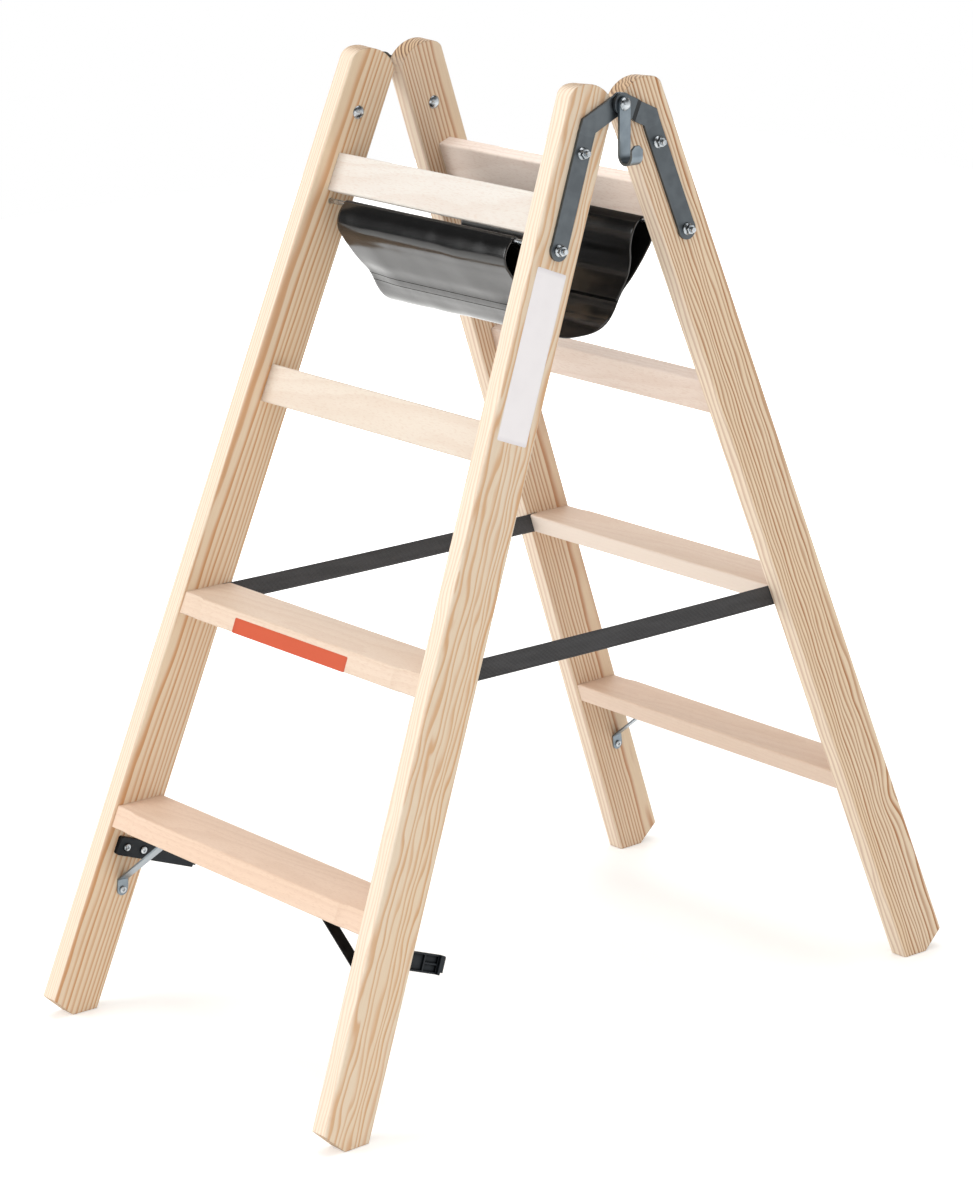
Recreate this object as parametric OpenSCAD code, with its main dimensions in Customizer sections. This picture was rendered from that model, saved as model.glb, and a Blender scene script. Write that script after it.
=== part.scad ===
// Trestle ladder: two hinged wooden frames with rungs on both sides, straps, tool sling and bucket hook.
// Sizes are in millimetres and degrees. X runs across the ladder, Y from front to rear, Z up from the floor.

/* [Stance] */
// Angle of each frame from upright when the ladder stands open
half_angle = 21; // [17:0.5:24]
// Height of the hinge axis above the floor
hinge_h = 1078; // [1020:1:1200]
// Angle by which each stile leans outwards in its frame
splay = 3.4; // [2:0.1:4.5]
// Distance from the middle of the ladder to a stile's centre line, at the hinge axis
top_half_w = 187.5; // [165:0.5:220]
// Distance from a stile's inner edge to the plane where the folded frames meet
fold_gap = 1.6; // [1:0.1:5]

/* [Stiles] */
// Depth of a stile, from its inner to its outer edge
stile_d = 66; // [60:0.5:76]
// Thickness of a stile
stile_t = 24; // [20:0.5:32]
// Radius along a stile's long edges
arris_r = 3; // [1:0.25:5]
// Rise of a stile's crown above the hinge axis
crown_rise = 9; // [5:0.5:14]
// Radius of the crown
crown_r = 45; // [42:0.5:70]
// Radius of the crown's shoulders
shoulder_r = 22; // [14:0.5:26]
// Length of the level sole, from the inner edge
sole_l = 35; // [25:0.5:50]
// Rise of the chamfer on the sole's outer corner, from level
sole_chamfer = 43; // [30:1:55]

/* [Rungs] */
// Distance from the hinge axis down to the middle of rung 1
rung_1_s = 139.3; // [132:0.1:141]
// Distance from the hinge axis down to the middle of rung 2
rung_2_s = 393.4; // [360:0.1:420]
// Height of an upright rung
rung_h = 45; // [35:0.5:48]
// Thickness of an upright rung
rung_t = 19; // [15:0.5:24]
// Height of the top of tread 3 above the floor
tread_3_h = 493; // [470:0.5:520]
// Height of the top of tread 4 above the floor
tread_4_h = 248.5; // [235:0.5:270]
// Thickness of a tread
tread_t = 24; // [20:0.5:30]
// Distance from a stile's inner edge to a tread's inner edge
tread_set_in = 3; // [1:0.25:8]
// Distance by which a tread stands out past a stile's outer edge
tread_proud = 0.5; // [0:0.25:3]
// Radius along the edges of rungs and treads
rung_edge_r = 2.5; // [1:0.25:4]
// Depth of the relief at a tread's outer corners
relief_d = 4; // [2:0.25:7]
// Straight length of the relief, from the stile
relief_l = 20; // [12:0.5:40]
// Radius with which the relief runs out
relief_r = 52; // [30:1:90]

/* [Rung joints] */
// Length of a tenon
tenon_l = 14; // [8:0.5:17]
// Thickness of an upright rung's tenon
rung_tenon_t = 11; // [8:0.5:13]
// Height of an upright rung's tenon
rung_tenon_h = 33; // [25:0.5:33]
// Width of a tread's tenon
tread_tenon_w = 28; // [20:0.5:30]
// Height of a tread's tenon
tread_tenon_h = 12; // [8:0.5:14]
// Clearance in the wooden joints
joint_gap = 0.15; // [0.05:0.05:0.3]

/* [Hinge plates] */
// Width of a hinge plate's strip
plate_w = 23; // [20:0.5:26]
// Thickness of a hinge plate
plate_t = 3.5; // [3:0.25:5]
// Angle between a hinge plate's arm and its stile
arm_angle = 45; // [40:1:50]
// Distance along the arm from the pin to the joggle
joggle_s = 19; // [17:0.5:22]
// Length of the joggle's slope
joggle_l = 10; // [5:0.5:12]
// Distance from the hinge axis down to the carriage bolts
bolt_s = 66; // [62:0.5:75]
// Distance from the hinge axis down to the tie rods
rod_s = 172.5; // [170:0.5:190]

/* [Hinge pins] */
// Diameter of a hinge pin
pin_d = 10; // [8:0.25:11]
// Diameter of a hinge pin's head
pin_head_d = 15; // [13:0.5:18]
// Height of a hinge pin's domed head
pin_head_h = 4.5; // [3:0.25:6]
// Thickness of a hinge pin's inner, riveted head
rivet_t = 1.5; // [1:0.1:1.8]
// Radial clearance of the plates and the hook on a pin
pin_gap = 0.08; // [0.02:0.01:0.1]
// Diameter of the washer between two hinge plates
washer_d = 20; // [18:0.5:23]
// Thickness of the washer between two hinge plates
washer_t = 1; // [0.8:0.1:2]
// Side play between the pieces on a pin
pin_play = 0.2; // [0.1:0.05:0.4]

/* [Bolts and rods] */
// Diameter of bolts and tie rods
bolt_d = 6; // [5:0.25:8]
// Diameter of a carriage bolt's head
bolt_head_d = 16; // [14:0.5:18]
// Height of a carriage bolt's head
bolt_head_h = 4; // [3:0.25:5]
// Width across a nut's flats
nut_af = 10; // [9.5:0.5:12]
// Height of a nut, with its flange
nut_h = 6.5; // [5:0.25:9]
// Diameter of a nut's flange
flange_d = 14; // [13:0.5:16]
// Thickness of a nut's flange
flange_t = 1.5; // [1:0.1:2.5]
// Length of thread that stands out of a nut
thread_out = 4; // [1:0.5:6]
// Radial clearance round bolts and rods
bolt_gap = 0.15; // [0.05:0.05:0.3]

/* [Bucket hook] */
// Width of the bucket hook's strip
hook_w = 16; // [14:0.5:20]
// Thickness of the bucket hook's strip
hook_t = 3; // [2:0.25:4]
// Distance from the pin down to the bottom of the hook
hook_l = 66; // [55:0.5:67]
// Width of the hook's throat
hook_throat = 17; // [14:0.5:22]
// Height of the hook's tip above its bottom
hook_tip = 23; // [20:0.5:30]
// Cut across the corners of the hook's tip
hook_corner = 5; // [2:0.5:6]

/* [Braces] */
// Width of a brace
brace_w = 14.5; // [12:0.5:20]
// Thickness of a brace
brace_t = 2; // [1.5:0.25:3]
// Angle between a brace and its stile
brace_angle = 49; // [35:1:52]
// Turn of a front brace on its stile, from the stile's length towards the upright
front_brace_turn = 18; // [0:0.5:20]
// Turn of a rear brace on its stile, from the stile's length towards the upright
rear_brace_turn = 12; // [0:0.5:15]
// Distance from the bend in a brace down to its lower screw
brace_tab = 13; // [11:0.5:20]
// Length of a brace's upper tab, to its screw
brace_top_tab = 18; // [14:0.5:26]
// Height of tread 4 above the bend in a front brace
front_brace_drop = 68; // [50:0.5:80]
// Height of tread 4 above the bend in a rear brace
rear_brace_drop = 59; // [50:0.5:80]
// Distance from a front stile's inner edge to the bend's middle
front_brace_v = 24; // [14:0.5:45]
// Distance from a rear stile's inner edge to the bend's middle
rear_brace_v = 41.5; // [14:0.5:48]

/* [Screws] */
// Diameter of the wood screws
screw_d = 4; // [3:0.25:4.5]
// Length of a wood screw in the wood
screw_l = 12; // [8:0.5:15]
// Diameter of a wood screw's head
screw_head_d = 8.5; // [7:0.25:10]
// Height of a wood screw's head
screw_head_h = 2.6; // [2:0.1:4]
// Radial clearance round the wood screws
screw_gap = 0.1; // [0.05:0.05:0.2]
// Length of the cross in a wood screw's head
cross_l = 4.4; // [3.5:0.1:5]
// Width of the cross's slots
cross_w = 1.1; // [0.8:0.1:1.4]
// Depth of the cross
cross_d = 1.5; // [1:0.1:1.8]

/* [Transport clips] */
// Height of a transport clip
clip_h = 22; // [18:0.5:26]
// Thickness of a transport clip
clip_t = 7; // [6:0.5:11]
// Distance from tread 4's lower outer edge down to a clip
clip_drop = 6.5; // [5:0.1:14]
// Length of a clip's base on its stile
clip_base_l = 48; // [40:0.5:56]
// Reach of a clip past its stile's inner edge
clip_reach = 70; // [68:0.5:82]
// Thickness of a clip's walls and ribs
clip_wall = 2; // [1.5:0.25:3]
// Clearance between a clip and the stile that it holds
clip_gap = 0.5; // [0.3:0.1:1]
// Length of the nose at the end of a clip
clip_nose_l = 7; // [5:0.5:10]
// Depth of the slot in which the held stile's edge lies
clip_slot_d = 3; // [2:0.25:4]
// Step below the nose
clip_step = 3; // [2:0.5:5]
// Radius of a clip's corners
clip_corner_r = 2.5; // [1:0.5:8]
// Distance between a clip's screws
clip_screw_pitch = 24.7; // [20:0.1:30]

/* [Straps] */
// Width of the webbing
strap_w = 24; // [20:0.5:30]
// Thickness of the webbing
strap_t = 1.5; // [1:0.1:2.5]
// Length of the webbing that is held between a tread and a stile
strap_tail = 12; // [8:0.5:14]
// Clearance round the webbing
strap_gap = 0.3; // [0.2:0.05:0.5]

/* [Sling] */
// Length of the sling across the ladder
sling_l = 295; // [240:1:320]
// Distance of the sling's middle from the middle of the ladder
sling_shift = -7.5; // [-12:0.5:12]
// Thickness of the sling's sheet
sling_t = 1.6; // [1:0.1:2.5]
// Depth of the sling below the tie rods
sling_drop = 125; // [105:1:160]
// Distance by which a hem bulges outwards past its tie rod
hem_out = 14; // [9:0.5:18]
// Distance by which a hem's flap hangs inwards of its tie rod
hem_in = 18; // [14:0.5:22]
// Clearance of the sheet from the rods and from itself
sling_gap = 0.35; // [0.3:0.05:0.6]

/* [Hidden] */
$fn = 48;
// Steps in one rounded corner of an outline
corner_steps = 6;
// Steps between two points of the sling's curve
curve_steps = 4;
// Cutting tools reach this far past what they cut
past = 5;
// A length greater than the whole ladder
far = 4 * hinge_h;

sin_a = sin(half_angle);
cos_a = cos(half_angle);
sin_b = sin(splay);
cos_b = cos(splay);
tan_b = tan(splay);

// Places in a frame: v outwards from the folding plane, s down from the hinge axis
v_in = fold_gap;
v_mid = fold_gap + stile_d / 2;
v_out = fold_gap + stile_d;
function s_at(z, v) = (hinge_h - z + v * sin_a) / cos_a;
function y_at(v, z) = (hinge_h - z) * sin_a / cos_a + v / cos_a;
function x_at(a, s) = top_half_w + a / cos_b + s * tan_b;
function h_at(a, s) = (-s - a * sin_b) / cos_b;
in_face = -stile_t / 2;
out_face = stile_t / 2;

// Crown of a stile: the shoulders touch the crown and the edges
crown_u = crown_rise - crown_r;
shoulder_v = stile_d / 2 - shoulder_r;
shoulder_turn = asin(shoulder_v / (crown_r - shoulder_r));
shoulder_u = crown_u + (crown_r - shoulder_r) * cos(shoulder_turn);
stile_l = s_at(0, v_out) / cos_b + 2 * stile_t;
sole_end = y_at(v_in, 0) + sole_l;

// Treads and their joints
tread_v = v_in + tread_set_in;
tread_out_v = v_out + tread_proud;
tread_3_u = -s_at(tread_3_h - tread_t / 2, v_mid);
tread_4_u = -s_at(tread_4_h - tread_t / 2, v_mid);
tread_4_under = tread_4_h - tread_t;
strap_slot_v = tread_v + strap_tail + strap_gap;
tread_tenon_v = v_mid + tread_tenon_w / 8;

// Hinge plates
bend_s = v_mid / tan(arm_angle);
// The rounded ends stand a little past the strip's edges
eye_r = plate_w / 2 + 0.5;
fold_s = bend_s + plate_w / 2;
arm_x = x_at(out_face, fold_s);
rear_eye_x = arm_x + plate_t + washer_t + pin_play;
hook_x = rear_eye_x + plate_t + pin_play;
plate_out = out_face + plate_t;
rod_y = rod_s * sin_a + v_mid * cos_a;
rod_z = hinge_h - rod_s * cos_a + v_mid * sin_a;
rod_nut_x = x_at(plate_out, rod_s) + flange_d / 2 * tan_b;

// Transport clips
clip_s = s_at(tread_4_under, v_out) + clip_drop;
clip_v = v_in - clip_reach;
clip_end_v = v_in + clip_base_l;
clip_screw_v = clip_end_v - clip_base_l * 0.23;

// Straps
strap_z = tread_3_h - tread_t / 2;
strap_lean = atan(tan_b * cos_a);
strap_x = x_at(in_face, s_at(strap_z, v_in)) - joint_gap;

// Outlines

function unit(a) = a / norm(a);
function left_of(a) = [-a[1], a[0]];

// Arc of radius r round c, from angle a to angle b
function arc(c, r, a, b, n) = [for (i = [0 : n]) c + r * [cos(a + (b - a) * i / n), sin(a + (b - a) * i / n)]];

// Fillet at corner q between p and w, for outlines that run anticlockwise
function fillet(p, q, w, r) =
    let (a = unit(p - q), b = unit(w - q))
    let (half = acos(a * b) / 2)
    let (c = q + unit(a + b) * r / sin(half))
    let (first = q + a * r / tan(half) - c)
    let (start = atan2(first[1], first[0]))
    arc(c, r, start, start + 180 - 2 * half, corner_steps);

// Outline with all its corners rounded
function rounded(points, r) =
    let (n = len(points))
    [for (i = [0 : n - 1]) each fillet(points[(i + n - 1) % n], points[i], points[(i + 1) % n], r)];

// Offset of one point of a path, mitred at bends
function mitre(path, i) =
    let (n = len(path) - 1)
    let (before = left_of(unit(path[max(i, 1)] - path[max(i, 1) - 1])))
    let (after = left_of(unit(path[min(i + 1, n)] - path[min(i + 1, n) - 1])))
    let (middle = unit(before + after))
    middle / (middle * before);

// Outline of a strip of half width w along a path
function strip(path, w) =
    let (n = len(path) - 1)
    concat([for (i = [0 : n]) path[i] - w * mitre(path, i)],
        [for (i = [0 : n]) path[n - i] + w * mitre(path, n - i)]);

// Direction of a curve at one of its points: halfway between the spans on both sides
function heading(points, i) =
    let (n = len(points) - 1)
    let (before = unit(points[max(i, 1)] - points[max(i, 1) - 1]))
    let (after = unit(points[min(i + 1, n)] - points[min(i + 1, n) - 1]))
    unit(before + after);

// Smooth curve through points: cubic spans that keep the headings at both ends
function span(p, q, a, b, t) =
    let (l = norm(q - p))
    (2 * pow(t, 3) - 3 * pow(t, 2) + 1) * p + (pow(t, 3) - 2 * pow(t, 2) + t) * l * a
    + (3 * pow(t, 2) - 2 * pow(t, 3)) * q + (pow(t, 3) - pow(t, 2)) * l * b;
function curve(points) =
    let (n = len(points) - 1)
    concat([for (i = [0 : n - 1]) for (k = [0 : curve_steps - 1])
        span(points[i], points[i + 1], heading(points, i), heading(points, i + 1), k / curve_steps)],
        [points[n]]);

// Places

// Rear frame: x across, y outwards from the folding plane, z up along the frame from the hinge axis
module at_rear() {
    translate([0, 0, hinge_h]) rotate([half_angle, 0, 0]) children();
}

// Front frame: the rear frame's mirror image
module at_front() {
    mirror([0, 1, 0]) at_rear() children();
}

module at_left() {
    mirror([1, 0, 0]) children();
}

module both_sides() {
    children();
    at_left() children();
}

// Right stile of a frame: x through its thickness, z along it
module on_stile() {
    translate([top_half_w, 0, 0]) rotate([0, -splay, 0]) children();
}

// Level places, as seen from a frame
module level() {
    rotate([-half_angle, 0, 0]) translate([0, 0, -hinge_h]) children();
}

// Extrusion along x of an outline in y and z
module along_x(l, from) {
    translate([from, 0, 0]) rotate([90, 0, 90]) linear_extrude(l) children();
}

// Cylinder along x
module rod_x(d, l, from) {
    translate([from, 0, 0]) rotate([0, 90, 0]) cylinder(d = d, h = l);
}

// Solid turned about x, from an outline of radius and place along x
module turned_x(points) {
    rotate([0, 90, 0]) rotate_extrude() polygon(points);
}

// Outline of a domed head from its rim at x = 0 to its top at x = h, or at x = -h if side is -1
function dome(d, h, side) =
    let (ball_r = (pow(d / 2, 2) + pow(h, 2)) / (2 * h))
    let (rim = acos((ball_r - h) / ball_r))
    [for (i = [0 : corner_steps]) let (a = rim * (1 - i / corner_steps))
        [ball_r * sin(a), side * (h - ball_r + ball_r * cos(a))]];

// Outline moved along x
function moved(points, x) = [for (p = points) p + [0, x]];

// Wood

// Space outside the stiles' inner faces, for cutting rungs to length
module beyond_stiles(gap) {
    both_sides() on_stile() translate([in_face - gap, -far / 2, -far / 2]) cube([far, far, far]);
}

// Tenons at both ends of a rung that lies u along the frame, or mortises if grow is a clearance
module tenons(u, v, w, h, lean, grow) {
    both_sides()
    translate([x_at(in_face, -u) - past, v, u])
    rotate([lean, 0, 0])
    translate([0, -w / 2 - grow, -h / 2 - grow])
    cube([past + tenon_l + 2 * grow, w + 2 * grow, h + 2 * grow]);
}

module rung_tenons(s, grow) {
    tenons(-s, v_mid, rung_tenon_t, rung_tenon_h, 0, grow);
}

module tread_tenons(u, grow) {
    tenons(u, tread_tenon_v, tread_tenon_w, tread_tenon_h, -half_angle, grow);
}

// Side view of a stile: shoulders and crown at the top
module stile_side() {
    right = arc([v_mid + shoulder_v, shoulder_u], shoulder_r, 0, 90 - shoulder_turn, 2 * corner_steps);
    crown = arc([v_mid, crown_u], crown_r, 90 - shoulder_turn, 90 + shoulder_turn, 4 * corner_steps);
    left = arc([v_mid - shoulder_v, shoulder_u], shoulder_r, 90 + shoulder_turn, 180, 2 * corner_steps);
    top = concat(right, [for (i = [1 : len(crown) - 2]) crown[i]], left);
    polygon(concat([[v_in, -stile_l], [v_out, -stile_l]], top));
}

// Section of a stile
module stile_section() {
    polygon(rounded([[in_face, v_in], [out_face, v_in], [out_face, v_out], [in_face, v_out]], arris_r));
}

// What the floor and the chamfer take off a stile's foot
module sole_cut() {
    level() translate([-far / 2, -far / 2, -far]) cube([far, far, far]);
    level() translate([-far / 2, sole_end, 0]) rotate([sole_chamfer, 0, 0])
    translate([0, -far / 2, -far]) cube([far, far, far]);
}

// Holes for the bolt, the tie rod and the brace's screw
module stile_holes(drop, brace_v, turn) {
    on_stile() translate([0, v_mid, h_at(0, bolt_s)]) rod_x(bolt_d + 2 * bolt_gap, far, -far / 2);
    translate([0, v_mid, -rod_s]) rod_x(bolt_d + 2 * bolt_gap, far, -far / 2);
    on_brace(drop, brace_v, turn) translate([in_face, 0, -brace_tab])
    rod_x(screw_d + 2 * screw_gap, screw_l + past, -past);
}

// Right stile of a frame
module stile(drop, brace_v, turn) {
    difference() {
        on_stile() intersection() {
            along_x(2 * stile_t, -stile_t) stile_side();
            translate([0, 0, -stile_l]) linear_extrude(stile_l + crown_rise + past) stile_section();
        }
        sole_cut();
        stile_holes(drop, brace_v, turn);
        rung_tenons(rung_1_s, joint_gap);
        rung_tenons(rung_2_s, joint_gap);
        tread_tenons(tread_3_u, joint_gap);
        tread_tenons(tread_4_u, joint_gap);
    }
}

module front_stile() {
    difference() {
        stile(front_brace_drop, front_brace_v, front_brace_turn);
        clip_screw_places() rod_x(screw_d + 2 * screw_gap, screw_l + past, -past);
    }
}

module rear_stile() {
    stile(rear_brace_drop, rear_brace_v, rear_brace_turn);
}

// Upright rung
module rung(s) {
    v = v_mid - rung_t / 2;
    w = v_mid + rung_t / 2;
    corners = [[v, -s - rung_h / 2], [w, -s - rung_h / 2], [w, -s + rung_h / 2], [v, -s + rung_h / 2]];
    difference() {
        along_x(far, -far / 2) polygon(rounded(corners, rung_edge_r));
        beyond_stiles(joint_gap);
    }
    rung_tenons(s, 0);
}

// Tread: level top and underside, edges in line with the stiles
module tread(h) {
    low = h - tread_t;
    corners = [[tread_v, -s_at(low, tread_v)], [tread_out_v, -s_at(low, tread_out_v)],
        [tread_out_v, -s_at(h, tread_out_v)], [tread_v, -s_at(h, tread_v)]];
    u = -s_at(h - tread_t / 2, v_mid);
    difference() {
        along_x(far, -far / 2) polygon(rounded(corners, rung_edge_r));
        beyond_stiles(joint_gap);
        both_sides() tread_relief(x_at(in_face, -u), u);
    }
    tread_tenons(u, 0);
}

// Cut at a tread's outer corner, which runs out in a hollow curve
module tread_relief(x, u) {
    v = tread_out_v - relief_d;
    out_v = relief_d + past;
    turn = acos(1 - out_v / relief_r);
    hollow = arc([x - relief_l, v + relief_r], relief_r, 270 - turn, 270, 2 * corner_steps);
    translate([0, 0, u - stile_d])
    linear_extrude(2 * stile_d)
    polygon(concat(hollow, [[x + stile_t, v], [x + stile_t, v + out_v]]));
}

// Tread 3 leaves room at its inner corners for the straps
module tread_3() {
    difference() {
        tread(tread_3_h);
        both_sides() on_stile()
        translate([in_face - strap_t - 2 * strap_gap - joint_gap, -far, tread_3_u / cos_b - stile_d])
        cube([strap_t + 2 * strap_gap + 2 * joint_gap + tenon_l, far + strap_slot_v, 2 * stile_d]);
    }
}

// Tread 4 takes the braces' upper screws
module tread_4(drop, brace_v, turn) {
    difference() {
        tread(tread_4_h);
        both_sides() level() translate([brace_top_x(drop, brace_v, turn) - brace_top_tab,
            brace_top_y(drop, brace_v, turn), tread_4_under - past])
        cylinder(d = screw_d + 2 * screw_gap, h = screw_l + past);
    }
}

// Hinge

// Side view of a hinge plate: eye, arm, bend and leg
module plate_side() {
    along_x(far, 0) union() {
        polygon(strip([[0, 0], [v_mid, -bend_s], [v_mid, -rod_s]], plate_w / 2));
        circle(r = eye_r);
        translate([v_mid, -rod_s]) circle(r = eye_r);
    }
}

// Everything from a plate's face outwards: square to the pin at the top, along the stile below its fold
module past_fold(depth) {
    low = rod_s + plate_w;
    translate([0, far / 2, 0]) rotate([90, 0, 0]) linear_extrude(far)
    polygon([[arm_x + depth, plate_w], [arm_x + depth, depth * tan(splay / 2) - fold_s],
        [x_at(out_face + depth, low), -low], [far, -low], [far, plate_w]]);
}

// Everything from the rear plate's face outwards at its eye and joggle, seen along its width
module past_joggle(depth) {
    rotate([arm_angle - 90, 0, 0]) translate([0, 0, -far / 2]) linear_extrude(far)
    polygon([[rear_eye_x + depth, -plate_w], [far, -plate_w], [far, far], [arm_x + depth, far],
        [arm_x + depth, joggle_s + joggle_l], [rear_eye_x + depth, joggle_s]]);
}

module plate_holes(pin_clearance) {
    rod_x(pin_d + 2 * pin_clearance, far, 0);
    on_stile() translate([0, v_mid, h_at(0, bolt_s)]) rod_x(bolt_d + 2 * bolt_gap, far, 0);
    translate([0, v_mid, -rod_s]) rod_x(bolt_d + 2 * bolt_gap, far, 0);
}

// Front plate: its arm lies next to the stile
module front_plate() {
    difference() {
        intersection() {
            plate_side();
            past_fold(0);
        }
        past_fold(plate_t);
        plate_holes(pin_gap / 2);
    }
}

// Rear plate: its arm steps outwards over the front plate's eye
module rear_plate() {
    difference() {
        intersection() {
            plate_side();
            past_fold(0);
            past_joggle(0);
        }
        intersection() {
            past_fold(plate_t);
            past_joggle(plate_t);
        }
        plate_holes(pin_gap);
    }
}

// Hinge pin with a domed head outside the piece that it carries last
module hinge_pin(head_x) {
    translate([0, 0, hinge_h])
    turned_x(concat([[0, arm_x - rivet_t], [pin_head_d / 2, arm_x - rivet_t], [pin_head_d / 2, arm_x],
        [pin_d / 2, arm_x], [pin_d / 2, head_x]], moved(dome(pin_head_d, pin_head_h, 1), head_x)));
}

module hinge_washer() {
    translate([0, 0, hinge_h]) difference() {
        rod_x(washer_d, washer_t, arm_x + plate_t + pin_play / 2);
        rod_x(pin_d + 2 * pin_gap, far, 0);
    }
}

// Bucket hook: strip that hangs from the right pin and curls outwards
module bucket_hook_strip() {
    curl_r = hook_throat / 2 + hook_t;
    curl_x = hook_x + curl_r;
    curl_z = curl_r - hook_l;
    tip_z = hook_tip - hook_l;
    tip = [[-hook_w / 2, curl_z], [hook_w / 2, curl_z], [hook_w / 2, tip_z - hook_corner],
        [hook_w / 2 - hook_corner, tip_z], [hook_corner - hook_w / 2, tip_z],
        [-hook_w / 2, tip_z - hook_corner]];
    translate([0, 0, hinge_h]) {
        difference() {
            union() {
                rod_x(hook_w, hook_t, hook_x);
                translate([hook_x, -hook_w / 2, curl_z]) cube([hook_t, hook_w, -curl_z]);
            }
            rod_x(pin_d + 2 * pin_gap, far, 0);
        }
        intersection() {
            translate([curl_x, hook_w / 2, curl_z]) rotate([90, 0, 0]) difference() {
                cylinder(r = curl_r, h = hook_w);
                translate([0, 0, -past]) cylinder(d = hook_throat, h = hook_w + 2 * past);
            }
            translate([curl_x - curl_r - past, -hook_w, curl_z - curl_r - past])
            cube([2 * curl_r + 2 * past, 2 * hook_w, curl_r + past]);
        }
        along_x(hook_t, curl_x + hook_throat / 2) polygon(tip);
    }
}

// Bolts, nuts and rods

// Carriage bolt: domed head on the stile's inner face
module carriage_bolt() {
    end_x = plate_out + nut_h + thread_out;
    on_stile() translate([0, v_mid, h_at(0, bolt_s)])
    turned_x(concat(moved(dome(bolt_head_d, bolt_head_h, -1), in_face),
        [[0, end_x], [bolt_d / 2, end_x], [bolt_d / 2, in_face]]));
}

// Nut with a sloping flange, facing outwards, its hexagon chamfered at the end
module flange_nut() {
    tip_r = nut_af / 2 - bolt_gap;
    difference() {
        union() {
            turned_x([[0, 0], [flange_d / 2, 0], [flange_d / 2, flange_t / 2], [nut_af / 2, 2 * flange_t],
                [0, 2 * flange_t]]);
            intersection() {
                translate([flange_t / 2, 0, 0]) rotate([0, 90, 0])
                cylinder(d = nut_af / cos(30), h = nut_h, $fn = 6);
                turned_x([[0, 0], [tip_r + nut_h, 0], [tip_r, nut_h], [0, nut_h]]);
            }
        }
        rod_x(bolt_d + bolt_gap, nut_h + 2 * past, -past);
    }
}

module flange_nuts() {
    both_sides() on_stile() translate([plate_out, v_mid, h_at(0, bolt_s)]) flange_nut();
    both_sides() translate([rod_nut_x, v_mid, -rod_s]) flange_nut();
}

module tie_rod() {
    half_l = rod_nut_x + nut_h + thread_out;
    translate([0, v_mid, -rod_s]) rod_x(bolt_d, 2 * half_l, -half_l);
}

// Braces

// Distance from the hinge axis down to the bend in a brace, which lies a drop below tread 4
function bend_at(drop, v) = s_at(tread_4_under - drop, v_in + v);

// Right stile's brace: z up along its lower tab from the bend, x through the stile
module on_brace(drop, v, turn) {
    on_stile() translate([0, v_in + v, -bend_at(drop, v) / cos_b]) rotate([-turn, 0, 0]) children();
}

// Steps of a brace's slope across the ladder, outwards and up, for each unit along it
function slope_v(turn) = cos(brace_angle) * sin(turn);
function slope_u(turn) = cos(brace_angle) * cos(turn) * cos_b - sin(brace_angle) * sin_b;
function slope_x(turn) = -sin(brace_angle) * cos_b - cos(brace_angle) * cos(turn) * sin_b;
function slope_y(turn) = slope_v(turn) * cos_a - slope_u(turn) * sin_a;
function slope_z(turn) = slope_v(turn) * sin_a + slope_u(turn) * cos_a;

// Where a brace meets the underside of tread 4
function brace_top_x(drop, v, turn) =
    x_at(in_face - brace_t / 2, bend_at(drop, v)) + drop * slope_x(turn) / slope_z(turn);
function brace_top_y(drop, v, turn) =
    y_at(v_in + v, tread_4_under - drop) + drop * slope_y(turn) / slope_z(turn);

// Bent strip from the stile to the tread's underside
module brace(drop, v, turn) {
    mid = in_face - brace_t / 2;
    run = 2 * drop / slope_z(turn);
    path = [[mid, -brace_tab], [mid, 0], [mid - run * sin(brace_angle), run * cos(brace_angle)]];
    tab_x = brace_top_x(drop, v, turn) - brace_top_tab;
    tab_y = brace_top_y(drop, v, turn);
    difference() {
        on_brace(drop, v, turn) {
            translate([0, brace_w / 2, 0]) rotate([90, 0, 0])
            linear_extrude(brace_w) polygon(strip(path, brace_t / 2));
            translate([0, 0, -brace_tab]) rod_x(brace_w, brace_t, in_face - brace_t);
        }
        level() translate([-far / 2, -far / 2, tread_4_under]) cube([far, far, far]);
        on_brace(drop, v, turn) translate([0, 0, -brace_tab])
        rod_x(screw_d + 2 * screw_gap, stile_t, -stile_t);
    }
    level() translate([tab_x, tab_y, tread_4_under - brace_t]) difference() {
        union() {
            translate([0, -brace_w / 2, 0]) cube([brace_top_tab + brace_t, brace_w, brace_t]);
            cylinder(d = brace_w, h = brace_t);
        }
        translate([0, 0, -past]) cylinder(d = screw_d + 2 * screw_gap, h = 2 * past + brace_t);
    }
}

// Wood screw along x, with its head's seat at x = 0 and its tip at l: a low dome on an upright rim, with a cross
module wood_screw(l) {
    rim = screw_head_h * 0.6;
    difference() {
        turned_x(concat(moved(dome(screw_head_d, screw_head_h - rim, -1), -rim),
            [[0, l], [screw_d / 2, l - screw_d / 2], [screw_d / 2, 0], [screw_head_d / 2, 0]]));
        for (turn = [0, 90]) rotate([turn, 0, 0])
        translate([-screw_head_h - past, -cross_w / 2, -cross_l / 2])
        cube([past + cross_d, cross_w, cross_l]);
    }
}

module brace_screws(drop, v, turn) {
    both_sides() on_brace(drop, v, turn)
    translate([in_face - brace_t, 0, -brace_tab]) wood_screw(brace_t + screw_l);
    both_sides() level()
    translate([brace_top_x(drop, v, turn) - brace_top_tab, brace_top_y(drop, v, turn), tread_4_under - brace_t])
    rotate([0, -90, 0]) wood_screw(brace_t + screw_l);
}

// Transport clips

// Places of a clip's screws, on the right stile's inner face
module clip_screw_places() {
    for (v = [clip_screw_v, clip_screw_v - clip_screw_pitch])
    on_stile() translate([in_face, v, -(clip_s + clip_h / 2) / cos_b]) children();
}

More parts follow.
